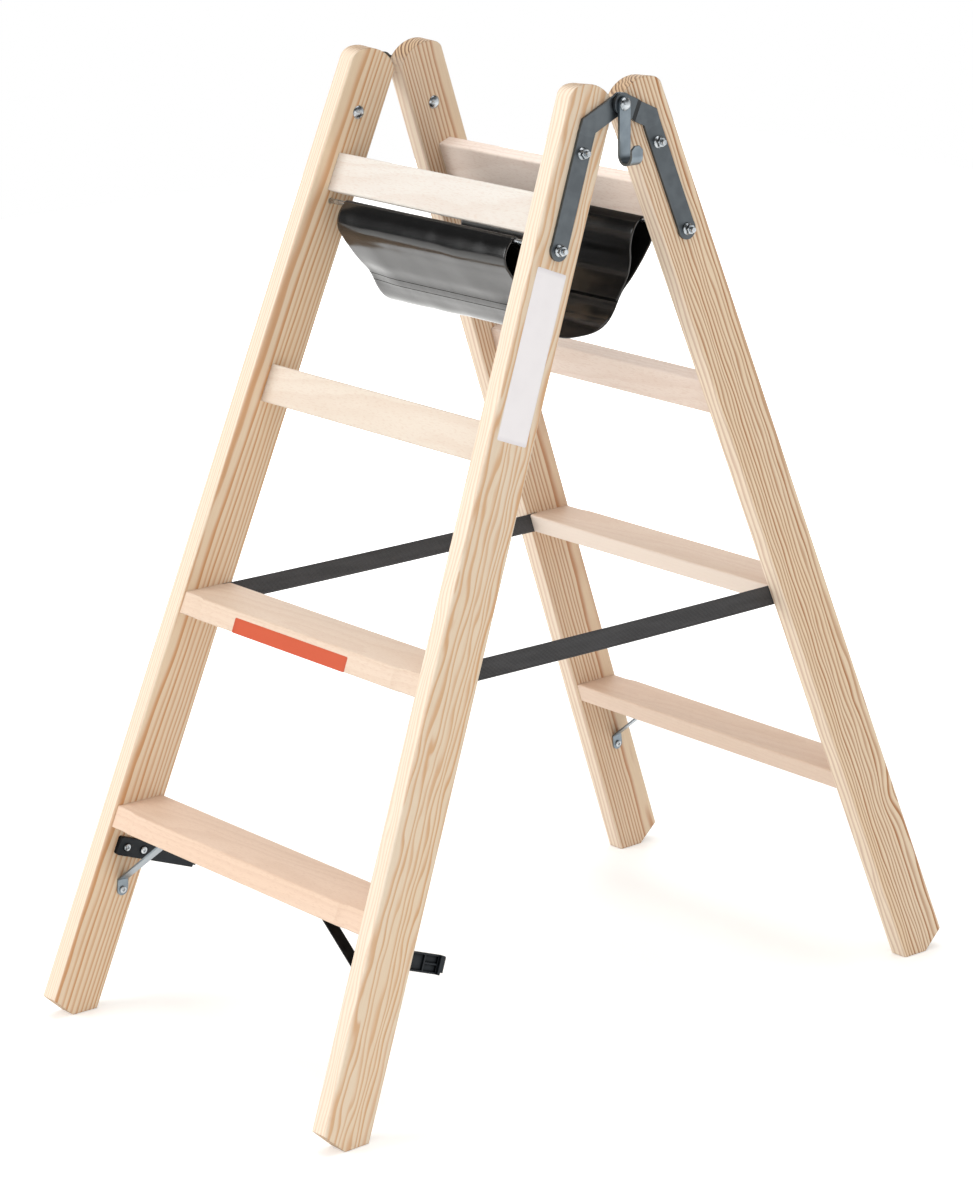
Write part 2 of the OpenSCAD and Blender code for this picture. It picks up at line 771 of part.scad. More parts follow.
// Clip on the right front stile: a base, and an arm that is hollow towards the stile that it holds
module transport_clip() {
    top = -clip_s / cos_b;
    low = top - clip_h;
    nose_v = clip_v + clip_nose_l;
    pocket_l = (v_in - clip_wall - nose_v) / 3 - clip_wall;
    pocket_h = (clip_h - 3 * clip_wall) / 2;
    difference() {
        on_stile() difference() {
            along_x(clip_t, in_face - clip_t)
            polygon(rounded([[clip_v, low], [clip_end_v, low], [clip_end_v, top], [clip_v, top]], clip_corner_r));
            translate([in_face - clip_slot_d, nose_v, low - past])
            cube([clip_slot_d + past, v_in - nose_v, clip_h + 2 * past]);
            translate([in_face - clip_gap, clip_v - past, low - past])
            cube([clip_gap + past, clip_nose_l + 2 * past, clip_h + 2 * past]);
            translate([in_face - clip_t - past, clip_v - past, low - past])
            cube([clip_t + 2 * past, past + clip_nose_l / 2, past + clip_step]);
            for (i = [0 : 2])
            for (k = i == 1 ? [0] : [0, 1])
            translate([in_face - clip_t + clip_wall, nose_v + clip_wall + i * (pocket_l + clip_wall),
                low + clip_wall + k * (pocket_h + clip_wall)])
            cube([clip_t, pocket_l, i == 1 ? clip_h - 2 * clip_wall : pocket_h]);
        }
        clip_screw_places() rod_x(screw_d + 2 * screw_gap, 2 * clip_t, -2 * clip_t);
    }
}

module clip_screw_pair() {
    clip_screw_places() translate([-clip_t, 0, 0]) wood_screw(clip_t + screw_l);
}

// Soft pieces

// Strap between the third treads, flat against the stiles' inner faces, with ends cut along the frames
module spreader_strap() {
    low = y_at(tread_v + strap_tail, strap_z - strap_w / 2);
    high = y_at(tread_v + strap_tail, strap_z + strap_w / 2);
    translate([strap_x, 0, strap_z])
    rotate([0, -strap_lean, 0])
    along_x(strap_t, -strap_t)
    polygon([[-low, -strap_w / 2], [low, -strap_w / 2], [high, strap_w / 2], [-high, strap_w / 2]]);
}

// Points of the rear half of the sling, from the middle of its trough up and round the tie rod
function trough(y, z) = [y * rod_y, rod_z - z * sling_drop];
trough_points = [trough(0, 1), trough(0.30, 0.975), trough(0.45, 0.91), trough(0.55, 0.815),
    trough(0.605, 0.735), trough(0.68, 0.645), trough(0.82, 0.54), trough(0.945, 0.43), trough(1.06, 0.315)];
hem_top = bolt_d / 2 + sling_gap + sling_t / 2;
hem_points = concat([[rod_y + hem_out, rod_z - 0.2 * sling_drop], [rod_y + hem_out * 0.9, rod_z - 0.08 * sling_drop]],
    arc([rod_y, rod_z], hem_top, 40, 140, 4),
    [[rod_y - hem_in * 0.7, rod_z - 0.07 * sling_drop], [rod_y - hem_in, rod_z - 0.22 * sling_drop],
    [rod_y - hem_in, rod_z - 0.37 * sling_drop], [rod_y - hem_in * 1.2, rod_z - 0.5 * sling_drop]]);
seam = left_of(unit(trough_points[5] - trough_points[4])) * (sling_t + sling_gap);
half_points = concat(trough_points, hem_points, [trough_points[5] + seam, trough_points[4] + seam]);
sling_points = concat([for (i = [len(half_points) - 1 : -1 : 1]) [-half_points[i][0], half_points[i][1]]], half_points);

module sling_sheet() {
    along_x(sling_l, sling_shift - sling_l / 2) polygon(strip(curve(sling_points), sling_t / 2));
}

// Nodes

module front_left_stile() {
    color("burlywood") at_left() at_front() front_stile();
}

module front_right_stile() {
    color("burlywood") at_front() front_stile();
}

module rear_left_stile() {
    color("burlywood") at_left() at_rear() rear_stile();
}

module rear_right_stile() {
    color("burlywood") at_rear() rear_stile();
}

module front_rung_1() {
    color("wheat") at_front() rung(rung_1_s);
}

module front_rung_2() {
    color("wheat") at_front() rung(rung_2_s);
}

module front_rung_3() {
    color("wheat") at_front() tread_3();
}

module front_rung_4() {
    color("wheat") at_front() tread_4(front_brace_drop, front_brace_v, front_brace_turn);
}

module rear_rung_1() {
    color("wheat") at_rear() rung(rung_1_s);
}

module rear_rung_2() {
    color("wheat") at_rear() rung(rung_2_s);
}

module rear_rung_3() {
    color("wheat") at_rear() tread_3();
}

module rear_rung_4() {
    color("wheat") at_rear() tread_4(rear_brace_drop, rear_brace_v, rear_brace_turn);
}

module front_tie_rod() {
    color("silver") at_front() tie_rod();
}

module rear_tie_rod() {
    color("silver") at_rear() tie_rod();
}

module front_left_hinge_plate() {
    color("slategray") at_left() at_front() front_plate();
}

module front_right_hinge_plate() {
    color("slategray") at_front() front_plate();
}

module rear_left_hinge_plate() {
    color("slategray") at_left() at_rear() rear_plate();
}

module rear_right_hinge_plate() {
    color("slategray") at_rear() rear_plate();
}

module front_hinge_bolts() {
    color("silver") at_front() both_sides() carriage_bolt();
}

module rear_hinge_bolts() {
    color("silver") at_rear() both_sides() carriage_bolt();
}

module front_flange_nuts() {
    color("gainsboro") at_front() flange_nuts();
}

module rear_flange_nuts() {
    color("gainsboro") at_rear() flange_nuts();
}

module left_hinge_pin() {
    color("gainsboro") at_left() hinge_pin(rear_eye_x + plate_t + pin_play);
}

module right_hinge_pin() {
    color("gainsboro") hinge_pin(hook_x + hook_t + pin_play);
}

module hinge_washers() {
    color("gainsboro") both_sides() hinge_washer();
}

module bucket_hook() {
    color("lightslategray") bucket_hook_strip();
}

module front_left_brace() {
    color("gray") at_left() at_front() brace(front_brace_drop, front_brace_v, front_brace_turn);
}

module front_right_brace() {
    color("gray") at_front() brace(front_brace_drop, front_brace_v, front_brace_turn);
}

module rear_left_brace() {
    color("gray") at_left() at_rear() brace(rear_brace_drop, rear_brace_v, rear_brace_turn);
}

module rear_right_brace() {
    color("gray") at_rear() brace(rear_brace_drop, rear_brace_v, rear_brace_turn);
}

module front_brace_screws() {
    color("silver") at_front() brace_screws(front_brace_drop, front_brace_v, front_brace_turn);
}

module rear_brace_screws() {
    color("silver") at_rear() brace_screws(rear_brace_drop, rear_brace_v, rear_brace_turn);
}

module left_transport_clip() {
    color("darkslategray") at_left() at_front() transport_clip();
}

module right_transport_clip() {
    color("darkslategray") at_front() transport_clip();
}

module clip_screws() {
    color("silver") at_front() both_sides() clip_screw_pair();
}

module left_spreader_strap() {
    color("dimgray") at_left() spreader_strap();
}

module right_spreader_strap() {
    color("dimgray") spreader_strap();
}

module tool_sling() {
    color("black") sling_sheet();
}

front_left_stile();
front_right_stile();
rear_left_stile();
rear_right_stile();
front_rung_1();
front_rung_2();
front_rung_3();
front_rung_4();
rear_rung_1();
rear_rung_2();
rear_rung_3();
rear_rung_4();
front_tie_rod();
rear_tie_rod();
front_left_hinge_plate();
front_right_hinge_plate();
rear_left_hinge_plate();
rear_right_hinge_plate();
front_hinge_bolts();
rear_hinge_bolts();
front_flange_nuts();
rear_flange_nuts();
left_hinge_pin();
right_hinge_pin();
hinge_washers();
bucket_hook();
front_left_brace();
front_right_brace();
rear_left_brace();
rear_right_brace();
front_brace_screws();
rear_brace_screws();
left_transport_clip();
right_transport_clip();
clip_screws();
left_spreader_strap();
right_spreader_strap();
tool_sling();
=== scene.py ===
"""Looks of a wooden trestle ladder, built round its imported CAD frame.

Pine stiles and beech rungs get grain that runs through each board as it was sawn, the steel parts get their
plating, and the sling, the straps and two plain stickers are modelled here as thin sheets.
"""

import logging
import math
from dataclasses import dataclass, field
from enum import Enum
from typing import Union

import bpy
import numpy as np
from mathutils import Matrix, Vector


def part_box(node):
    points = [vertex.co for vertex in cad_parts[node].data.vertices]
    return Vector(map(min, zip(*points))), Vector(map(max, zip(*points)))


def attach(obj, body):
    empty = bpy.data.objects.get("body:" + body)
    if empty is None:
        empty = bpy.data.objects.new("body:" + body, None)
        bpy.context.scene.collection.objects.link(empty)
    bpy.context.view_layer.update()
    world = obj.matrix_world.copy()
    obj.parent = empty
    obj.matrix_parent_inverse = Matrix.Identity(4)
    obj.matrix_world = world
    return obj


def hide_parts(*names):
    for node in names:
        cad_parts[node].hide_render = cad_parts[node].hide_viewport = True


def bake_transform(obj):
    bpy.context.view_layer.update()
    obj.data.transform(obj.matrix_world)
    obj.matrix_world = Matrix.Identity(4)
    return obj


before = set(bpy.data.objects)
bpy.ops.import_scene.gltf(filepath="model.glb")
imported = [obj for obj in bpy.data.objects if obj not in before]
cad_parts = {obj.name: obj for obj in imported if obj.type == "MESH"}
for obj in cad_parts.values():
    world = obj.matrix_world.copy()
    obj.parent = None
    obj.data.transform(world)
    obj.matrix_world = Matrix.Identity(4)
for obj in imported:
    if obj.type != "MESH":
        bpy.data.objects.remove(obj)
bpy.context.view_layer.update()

LOG = logging.getLogger("trestle_ladder")
PHOTO_SIZE = (973, 1200)
UV_NAME = "UVMap"
MM = 0.001
TINY = 1e-9
BLACK = (0, 0, 0, 1)
WHITE = (1, 1, 1, 1)

Socket = bpy.types.NodeSocket
Feed = Union[Socket, float, tuple]
Inputs = dict[Union[str, int], Feed]
Pair = tuple[float, float]
Triple = tuple[float, float, float]


class End(Enum):
    """The two frames of the ladder, by the sign of their Y."""

    FRONT = -1
    REAR = 1


class Side(Enum):
    """The two stiles of a frame, by the sign of their X."""

    LEFT = -1
    RIGHT = 1


class Face(Enum):
    """Faces of a board, by the number of the board's axis that they look along."""

    EDGE = 1
    END = 2


class SocketKind(Enum):
    """Kinds of socket on a shader node group."""

    VALUE = "NodeSocketFloat"
    VECTOR = "NodeSocketVector"


def node_name(*words: Union[Enum, str, int]) -> str:
    """Joins the words of a name, such as an end, a side and a part."""
    return "_".join(word.name.lower() if isinstance(word, Enum) else str(word) for word in words)


def linear(code: str) -> tuple[float, float, float, float]:
    """Turns a six-digit sRGB code into a linear colour, with the numbers of the sRGB curve.

    Args:
        code: Red, green and blue as pairs of hexadecimal digits.

    Returns:
        Linear red, green and blue, and an alpha of 1.
    """
    srgb = np.array([int(code[i:i + 2], 16) / 255 for i in (0, 2, 4)])
    out = np.where(srgb <= 0.04045, srgb / 12.92, ((srgb + 0.055) / 1.055) ** 2.4)
    return (float(out[0]), float(out[1]), float(out[2]), 1.0)


def unit(vectors: np.ndarray) -> np.ndarray:
    """Scales vectors along the last axis to a length of 1."""
    return vectors / np.linalg.norm(vectors, axis=-1, keepdims=True)


def smooth(value: np.ndarray, low: float, high: float) -> np.ndarray:
    """Eases from 0 at low to 1 at high, with the cubic 3t^2 - 2t^3."""
    t = np.clip((value - low) / (high - low), 0, 1)
    return t * t * (3 - 2 * t)


def bell(value: np.ndarray, width: Union[float, np.ndarray]) -> np.ndarray:
    """Gives the Gaussian exp(-(value / width)^2)."""
    return np.exp(-(value / width) ** 2)


def run_along(points: np.ndarray) -> np.ndarray:
    """Gives how far along a row of points each one lies, from 0 at the first."""
    return np.concatenate([[0], np.cumsum(np.linalg.norm(np.diff(points, axis=0), axis=1))])


# Shader trees


@dataclass(frozen=True)
class Noise:
    """A noise pattern: its scale per metre, for all axes or for each, and its number of finer layers."""

    scale: Feed
    detail: float


@dataclass(frozen=True)
class Relief:
    """How a height shows: what 1 stands for in metres, its strength, and the radius that edges show."""

    distance: float
    strength: float
    edge: float = 0.0


class Tree:
    """Adds nodes to one shader tree and links them."""

    EDGE_SAMPLES = 6

    def __init__(self, tree: bpy.types.NodeTree) -> None:
        """Keeps the tree that the nodes go into."""
        self.tree = tree

    def feed(self, socket: Socket, value: Feed) -> None:
        """Links a socket to another one, or sets its own value."""
        if isinstance(value, Socket):
            self.tree.links.new(value, socket)
        else:
            socket.default_value = value

    def fill(self, node: bpy.types.Node, inputs: Inputs) -> None:
        """Feeds several sockets of a node, by their names or numbers."""
        for key, value in inputs.items():
            self.feed(node.inputs[key], value)

    def node(self, kind: str, inputs: Inputs | None = None, **settings: object) -> bpy.types.Node:
        """Adds a node.

        Args:
            kind: Blender's name for the kind of node.
            inputs: What goes into each socket, by the socket's name or number.
            settings: The node's own properties.

        Returns:
            The new node.
        """
        made = self.tree.nodes.new(kind)
        for key, value in settings.items():
            setattr(made, key, value)
        self.fill(made, inputs or {})
        return made

    def math(self, operation: str, *values: Feed) -> Socket:
        """Adds a Math node and returns its result."""
        return self.node("ShaderNodeMath", dict(enumerate(values)), operation=operation).outputs[0]

    def vector(self, operation: str, *values: Feed) -> Socket:
        """Adds a Vector Math node and returns its vector."""
        made = self.node("ShaderNodeVectorMath", dict(enumerate(values)), operation=operation)
        return made.outputs["Vector"]

    def measure(self, operation: str, *values: Feed) -> Socket:
        """Adds a Vector Math node that gives a number, such as a length, and returns it."""
        made = self.node("ShaderNodeVectorMath", dict(enumerate(values)), operation=operation)
        return made.outputs["Value"]

    def times(self, vector: Feed, factor: Feed) -> Socket:
        """Multiplies a vector by a number."""
        made = self.node("ShaderNodeVectorMath", {0: vector, "Scale": factor}, operation="SCALE")
        return made.outputs["Vector"]

    def parts(self, vector: Feed) -> list[Socket]:
        """Splits a vector into its three numbers."""
        return list(self.node("ShaderNodeSeparateXYZ", {0: vector}).outputs)

    def coordinate(self, kind: str) -> Socket:
        """Adds a Texture Coordinate node and returns one of its vectors."""
        return self.node("ShaderNodeTexCoord").outputs[kind]

    def uv(self) -> Socket:
        """Adds a node that reads the piece's own UV map."""
        return self.node("ShaderNodeUVMap", uv_map=UV_NAME).outputs[0]

    def noise(self, vector: Feed, noise: Noise) -> Socket:
        """Adds a Noise Texture.

        Args:
            vector: Where the noise is read.
            noise: Its scale and detail.

        Returns:
            Its value, around 0.5.
        """
        scale = noise.scale
        if isinstance(scale, tuple):
            vector, scale = self.vector("MULTIPLY", vector, scale), 1.0
        inputs = {"Vector": vector, "Scale": scale, "Detail": noise.detail}
        return self.node("ShaderNodeTexNoise", inputs).outputs[0]

    def ease(self, value: Feed, low: Feed, high: Feed, first: Feed = 0.0, last: Feed = 1.0) -> Socket:
        """Eases from first to last while the value goes from low to high."""
        inputs = {"Value": value, "From Min": low, "From Max": high, "To Min": first, "To Max": last}
        return self.node("ShaderNodeMapRange", inputs, interpolation_type="SMOOTHSTEP").outputs[0]

    def mix(self, factor: Feed, first: Feed, second: Feed, blend: str = "MIX") -> Socket:
        """Mixes two colours; a Mix node takes its factor at 0 and its colours at 6 and 7."""
        inputs = {0: factor, 6: first, 7: second}
        return self.node("ShaderNodeMix", inputs, data_type="RGBA", blend_type=blend).outputs[2]

    def tint(self, colour: Feed, mask: Feed, share: float, code: str, blend: str = "MIX") -> Socket:
        """Mixes a second colour into a first one.

        Args:
            colour: The first colour.
            mask: Where the second one goes, from 0 to 1.
            share: The most that is mixed in.
            code: The second colour's sRGB code.
            blend: How the two are mixed.

        Returns:
            The mixed colour.
        """
        return self.mix(self.math("MULTIPLY", mask, share), colour, linear(code), blend)

    def bump(self, height: Feed, relief: Relief) -> Socket:
        """Turns a height into a normal.

        Args:
            height: The height, in shares of the relief's distance.
            relief: How it shows.

        Returns:
            The bent normal.
        """
        inputs = {"Height": height, "Distance": relief.distance, "Strength": relief.strength}
        made = self.node("ShaderNodeBump", inputs)
        if relief.edge:
            rounded = self.node("ShaderNodeBevel", {"Radius": relief.edge}, samples=self.EDGE_SAMPLES)
            self.feed(made.inputs["Normal"], rounded.outputs[0])
        return made.outputs[0]


class Pattern:
    """A shader node group that is built once and placed in each material with its own values."""

    NAME = ""
    INPUTS: dict[str, SocketKind] = {}
    OUTPUTS: dict[str, SocketKind] = {}

    def __init__(self) -> None:
        """Builds the group with its named sockets."""
        self.group = bpy.data.node_groups.new(self.NAME, "ShaderNodeTree")
        for way, sockets in (("INPUT", self.INPUTS), ("OUTPUT", self.OUTPUTS)):
            for label, kind in sockets.items():
                self.group.interface.new_socket(name=label, in_out=way, socket_type=kind.value)
        tree = Tree(self.group)
        given = tree.node("NodeGroupInput").outputs
        tree.node("NodeGroupOutput", self.build(tree, {label: given[label] for label in self.INPUTS}))

    def build(self, tree: Tree, given: dict[str, Socket]) -> dict[str, Socket]:
        """Adds the group's nodes.

        Args:
            tree: The group's tree.
            given: The group's inputs by name.

        Returns:
            What goes to each output, by name.
        """
        raise NotImplementedError

    def place(self, tree: Tree, values: Inputs) -> dict[str, Socket]:
        """Places the group in a tree with its own values and returns its outputs by name."""
        made = tree.node("ShaderNodeGroup", values, node_tree=self.group)
        return {label: made.outputs[label] for label in self.OUTPUTS}


class GrowthRings(Pattern):
    """Yearly rings round a pith that wanders, cut by the faces of a board.

    The distance from the pith, bent by slow noise and pushed aside at a knot, is divided by the ring pitch.
    Each ring darkens slowly and ends sharply. Coordinates are across, deep and along the board.
    """

    NAME = "growth_rings"
    INPUTS = {"Place": SocketKind.VECTOR, "Pith": SocketKind.VECTOR, "Drift": SocketKind.VECTOR,
              "Pitch": SocketKind.VALUE, "Wobble": SocketKind.VALUE, "Quick": SocketKind.VALUE,
              "Seed": SocketKind.VALUE, "Knot": SocketKind.VECTOR, "Push": SocketKind.VALUE}
    OUTPUTS = {"Latewood": SocketKind.VALUE, "Fibre": SocketKind.VALUE, "Tone": SocketKind.VALUE}
    SEED_STEP = (1.7, 2.3, 0.9)
    SLOW = Noise((16, 16, 3.2), 1.0)
    QUICK = Noise((70, 70, 14), 1.0)
    FIBRE = Noise((1300, 1300, 28), 2.0)
    TONE = Noise((26, 26, 3), 2.0)
    KNOT_REACH = (30, 34, 36)
    YEARS_SCALE = 0.31
    YEARS_SHARE = 1.1
    RISE = (0.30, 0.80)
    RIM = (0.88, 1.0)
    WEAKEST = 0.6

    def radius(self, tree: Tree, given: dict[str, Socket], shifted: Socket) -> Socket:
        """Adds the nodes of the distance from the pith.

        Args:
            tree: The group's tree.
            given: The group's inputs by name.
            shifted: The place, moved by the seed.

        Returns:
            The distance, with the wobble and the knot's push added.
        """
        place = given["Place"]
        pith = tree.vector("ADD", given["Pith"], tree.times(given["Drift"], tree.parts(place)[2]))
        across = tree.vector("MULTIPLY", tree.vector("SUBTRACT", place, pith), (1, 1, 0))
        slow, quick = (tree.math("SUBTRACT", tree.noise(shifted, noise), 0.5)
                       for noise in (self.SLOW, self.QUICK))
        bend = tree.math("ADD", slow, tree.math("MULTIPLY", quick, given["Quick"]))
        from_knot = tree.vector("MULTIPLY", tree.vector("SUBTRACT", place, given["Knot"]), self.KNOT_REACH)
        squared = tree.measure("DOT_PRODUCT", from_knot, from_knot)
        near_knot = tree.math("EXPONENT", tree.math("MULTIPLY", squared, -1))
        wobble = tree.math("MULTIPLY", bend, given["Wobble"])
        radius = tree.math("ADD", tree.measure("LENGTH", across), wobble)
        return tree.math("ADD", radius, tree.math("MULTIPLY", near_knot, given["Push"]))

    def build(self, tree: Tree, given: dict[str, Socket]) -> dict[str, Socket]:
        """Adds the nodes of the rings, the fine fibres and the slow change of tone."""
        seed = given["Seed"]
        shifted = tree.vector("ADD", given["Place"], tree.times(self.SEED_STEP, seed))
        ring = tree.math("DIVIDE", self.radius(tree, given, shifted), given["Pitch"])
        years = {"W": tree.math("ADD", ring, seed), "Scale": self.YEARS_SCALE, "Detail": 0.0}
        uneven = tree.node("ShaderNodeTexNoise", years, noise_dimensions="1D").outputs[0]
        ring = tree.math("ADD", ring, tree.math("MULTIPLY", uneven, self.YEARS_SHARE))
        part = tree.math("FRACT", ring)
        each = tree.node("ShaderNodeTexWhiteNoise", {"W": tree.math("FLOOR", ring)}, noise_dimensions="1D")
        strength = tree.math("MULTIPLY_ADD", each.outputs["Value"], 1 - self.WEAKEST, self.WEAKEST)
        shape = tree.math("MULTIPLY", tree.ease(part, *self.RISE), tree.ease(part, *self.RIM, 1.0, 0.0))
        return {"Latewood": tree.math("MULTIPLY", shape, strength), "Fibre": tree.noise(shifted, self.FIBRE),
                "Tone": tree.noise(shifted, self.TONE)}


class RayFlecks(Pattern):
    """Short dark dashes along the grain, as rays show on sawn beech: stretched noise above a threshold."""

    NAME = "ray_flecks"
    INPUTS = {"Place": SocketKind.VECTOR, "Seed": SocketKind.VALUE}
    OUTPUTS = {"Fleck": SocketKind.VALUE, "Pore": SocketKind.VALUE}
    SEED_STEP = (3.1, 1.3, 2.1)
    DASHES = Noise((720, 720, 150), 0.0)
    PORES = Noise((2600, 2600, 240), 1.0)
    THRESHOLD = (0.56, 0.72)

    def build(self, tree: Tree, given: dict[str, Socket]) -> dict[str, Socket]:
        """Adds the nodes of the long flecks and of the fine pores."""
        shifted = tree.vector("ADD", given["Place"], tree.times(self.SEED_STEP, given["Seed"]))
        return {"Fleck": tree.ease(tree.noise(shifted, self.DASHES), *self.THRESHOLD),
                "Pore": tree.noise(shifted, self.PORES)}


class SandedArris(Pattern):
    """Mask along a board's long edges, where the distance to both faces is less than a width; the paler tint
    there is sanded wood and partly a painted highlight.
    """

    NAME = "sanded_arris"
    INPUTS = {"Place": SocketKind.VECTOR, "Half": SocketKind.VECTOR, "Width": SocketKind.VALUE}
    OUTPUTS = {"Arris": SocketKind.VALUE}
    FULL_SHARE = 0.3

    def build(self, tree: Tree, given: dict[str, Socket]) -> dict[str, Socket]:
        """Adds the nodes that compare the two distances."""
        inset = tree.parts(tree.vector("SUBTRACT", given["Half"], tree.vector("ABSOLUTE", given["Place"])))
        further = tree.math("MAXIMUM", inset[0], inset[1])
        full = tree.math("MULTIPLY", given["Width"], self.FULL_SHARE)
        return {"Arris": tree.ease(further, full, given["Width"], 1.0, 0.0)}


class Plating(Pattern):
    """Zinc on steel: cloudy patches, and short scratches that run every way."""

    NAME = "plating"
    INPUTS = {"Place": SocketKind.VECTOR, "Grain": SocketKind.VALUE}
    OUTPUTS = {"Cloud": SocketKind.VALUE, "Scratch": SocketKind.VALUE}
    CLOUD_DETAIL = 4.0
    SCRATCHES = (Noise((90, 90, 2600), 1.0), Noise((2200, 2200, 120), 1.0))

    def build(self, tree: Tree, given: dict[str, Socket]) -> dict[str, Socket]:
        """Adds the nodes of the patches and of two crossing sets of scratches, half of each."""
        cloud = tree.noise(given["Place"], Noise(given["Grain"], self.CLOUD_DETAIL))
        first, second = (tree.noise(given["Place"], scratches) for scratches in self.SCRATCHES)
        scratch = tree.math("MULTIPLY_ADD", first, 0.5, tree.math("MULTIPLY", second, 0.5))
        return {"Cloud": cloud, "Scratch": scratch}


class Patterns:
    """The node groups that several finishes share."""

    def __init__(self) -> None:
        """Builds each group once."""
        self.rings = GrowthRings()
        self.flecks = RayFlecks()
        self.arris = SandedArris()
        self.plating = Plating()


def start_material(name: str) -> tuple[bpy.types.Material, Tree, bpy.types.Node]:
    """Makes a material with an empty Principled BSDF.

    Args:
        name: The material's name.

    Returns:
        The material, its tree and its shader.
    """
    material = bpy.data.materials.new(name)
    material.use_nodes = True
    material.node_tree.nodes.clear()
    tree = Tree(material.node_tree)
    shader = tree.node("ShaderNodeBsdfPrincipled")
    tree.node("ShaderNodeOutputMaterial", {"Surface": shader.outputs[0]})
    return material, tree, shader


def dress(name: str, material: bpy.types.Material) -> None:
    """Gives a CAD node its finish.

    Args:
        name: The node's name.
        material: The finish.
    """
    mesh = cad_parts[name].data
    mesh.materials.clear()
    mesh.materials.append(material)
    LOG.info("dressed %s with %s", name, material.name)


# Stance


@dataclass(frozen=True)
class Stance:
    """How the two frames stand, in metres and radians."""

    hinge_h: float = 1.078
    half_angle: float = math.radians(21.0)
    splay: float = math.radians(3.4)
    top_half_w: float = 0.1875
    fold_gap: float = 0.0016
    stile_d: float = 0.066
    stile_t: float = 0.024

    def frame_axes(self, end: End) -> np.ndarray:
        """Gives the rows X, outwards from the folding plane and up along a frame."""
        c, s = math.cos(self.half_angle), math.sin(self.half_angle)
        return np.array([[1, 0, 0], [0, end.value * c, s], [0, -end.value * s, c]], float)

    def stile_axes(self, end: End, side: Side) -> np.ndarray:
        """Gives the rows across, deep and along a stile, across pointing away from the ladder's middle."""
        x, out, up = self.frame_axes(end)
        c, s = math.cos(self.splay), math.sin(self.splay)
        return np.array([side.value * c * x + s * up, out, c * up - side.value * s * x])

    def stile_middle(self, end: End, side: Side) -> np.ndarray:
        """Gives the middle of a stile's section at the height of the hinge."""
        top = np.array([side.value * self.top_half_w, 0, self.hinge_h])
        return top + (self.fold_gap + self.stile_d / 2) * self.frame_axes(end)[1]

    def on_stile(self, end: End, side: Side, places: np.ndarray) -> np.ndarray:
        """Moves points from a stile's own across, deep and along to the ladder."""
        return self.stile_middle(end, side) + places @ self.stile_axes(end, side)

    def on_frame(self, end: End, places: np.ndarray) -> np.ndarray:
        """Moves points from a frame's X, outwards and up, from the hinge axis, to the ladder."""
        return np.array([0, 0, self.hinge_h]) + places @ self.frame_axes(end)


@dataclass(frozen=True)
class Board:
    """Where a board lies: its across, deep and along axes as rows, its middle, and half its section."""

    axes: np.ndarray
    middle: np.ndarray
    half: Pair
    facing_range: Pair = (0.35, 0.95)

    def place(self, tree: Tree) -> Socket:
        """Adds a Mapping node that turns Object coordinates into the board's own.

        Args:
            tree: The material's tree.

        Returns:
            The place on the board. Across is turned round where the axes are left-handed.
        """
        axes = self.axes.copy()
        if np.linalg.det(axes) < 0:
            axes[0] *= -1
        moved = tree.node("ShaderNodeMapping", {"Vector": tree.coordinate("Object")}, vector_type="POINT")
        moved.inputs["Rotation"].default_value = Matrix(axes.tolist()).to_euler("XYZ")
        moved.inputs["Location"].default_value = tuple(-(axes @ self.middle))
        return moved.outputs[0]

    def facing(self, tree: Tree, face: Face) -> Socket:
        """Adds a mask of the board's edges or ends.

        Args:
            tree: The material's tree.
            face: Which of them.

        Returns:
            1 where the surface looks along that axis, eased to 0 where it looks across it.
        """
        along = tree.measure("DOT_PRODUCT", tree.coordinate("Normal"), tuple(self.axes[face.value]))
        return tree.ease(tree.math("ABSOLUTE", along), *self.facing_range)

    def arris(self, tree: Tree, patterns: Patterns, place: Socket, width: float) -> Socket:
        """Places the mask of the board's sanded long edges, where the paler tint is partly a painted
        highlight.
        """
        values = {"Place": place, "Half": (*self.half, 1.0), "Width": width}
        return patterns.arris.place(tree, values)["Arris"]


# Finishes


@dataclass(frozen=True)
class Growth:
    """How one board was sawn, in metres.

    The pith lies across and deep at the hinge's height, or at a rung's middle, and drifts along the board.
    The knot pushes the rings aside, and quick is the share of the finer wobble.
    """

    pith: Pair
    drift: Pair
    pitch: float
    wobble: float
    seed: float
    knot: Triple = (0.0, 0.0, 0.0)
    push: float = 0.0
    quick: float = 0.3
    late: str = "cb9663"
    early: str = "e7d6bf"

    def values(self, place: Socket) -> Inputs:
        """Gives the inputs of the growth rings."""
        return {"Place": place, "Pith": (*self.pith, 0.0), "Drift": (*self.drift, 0.0), "Pitch": self.pitch,
                "Wobble": self.wobble, "Quick": self.quick, "Seed": self.seed, "Knot": self.knot,
                "Push": self.push}


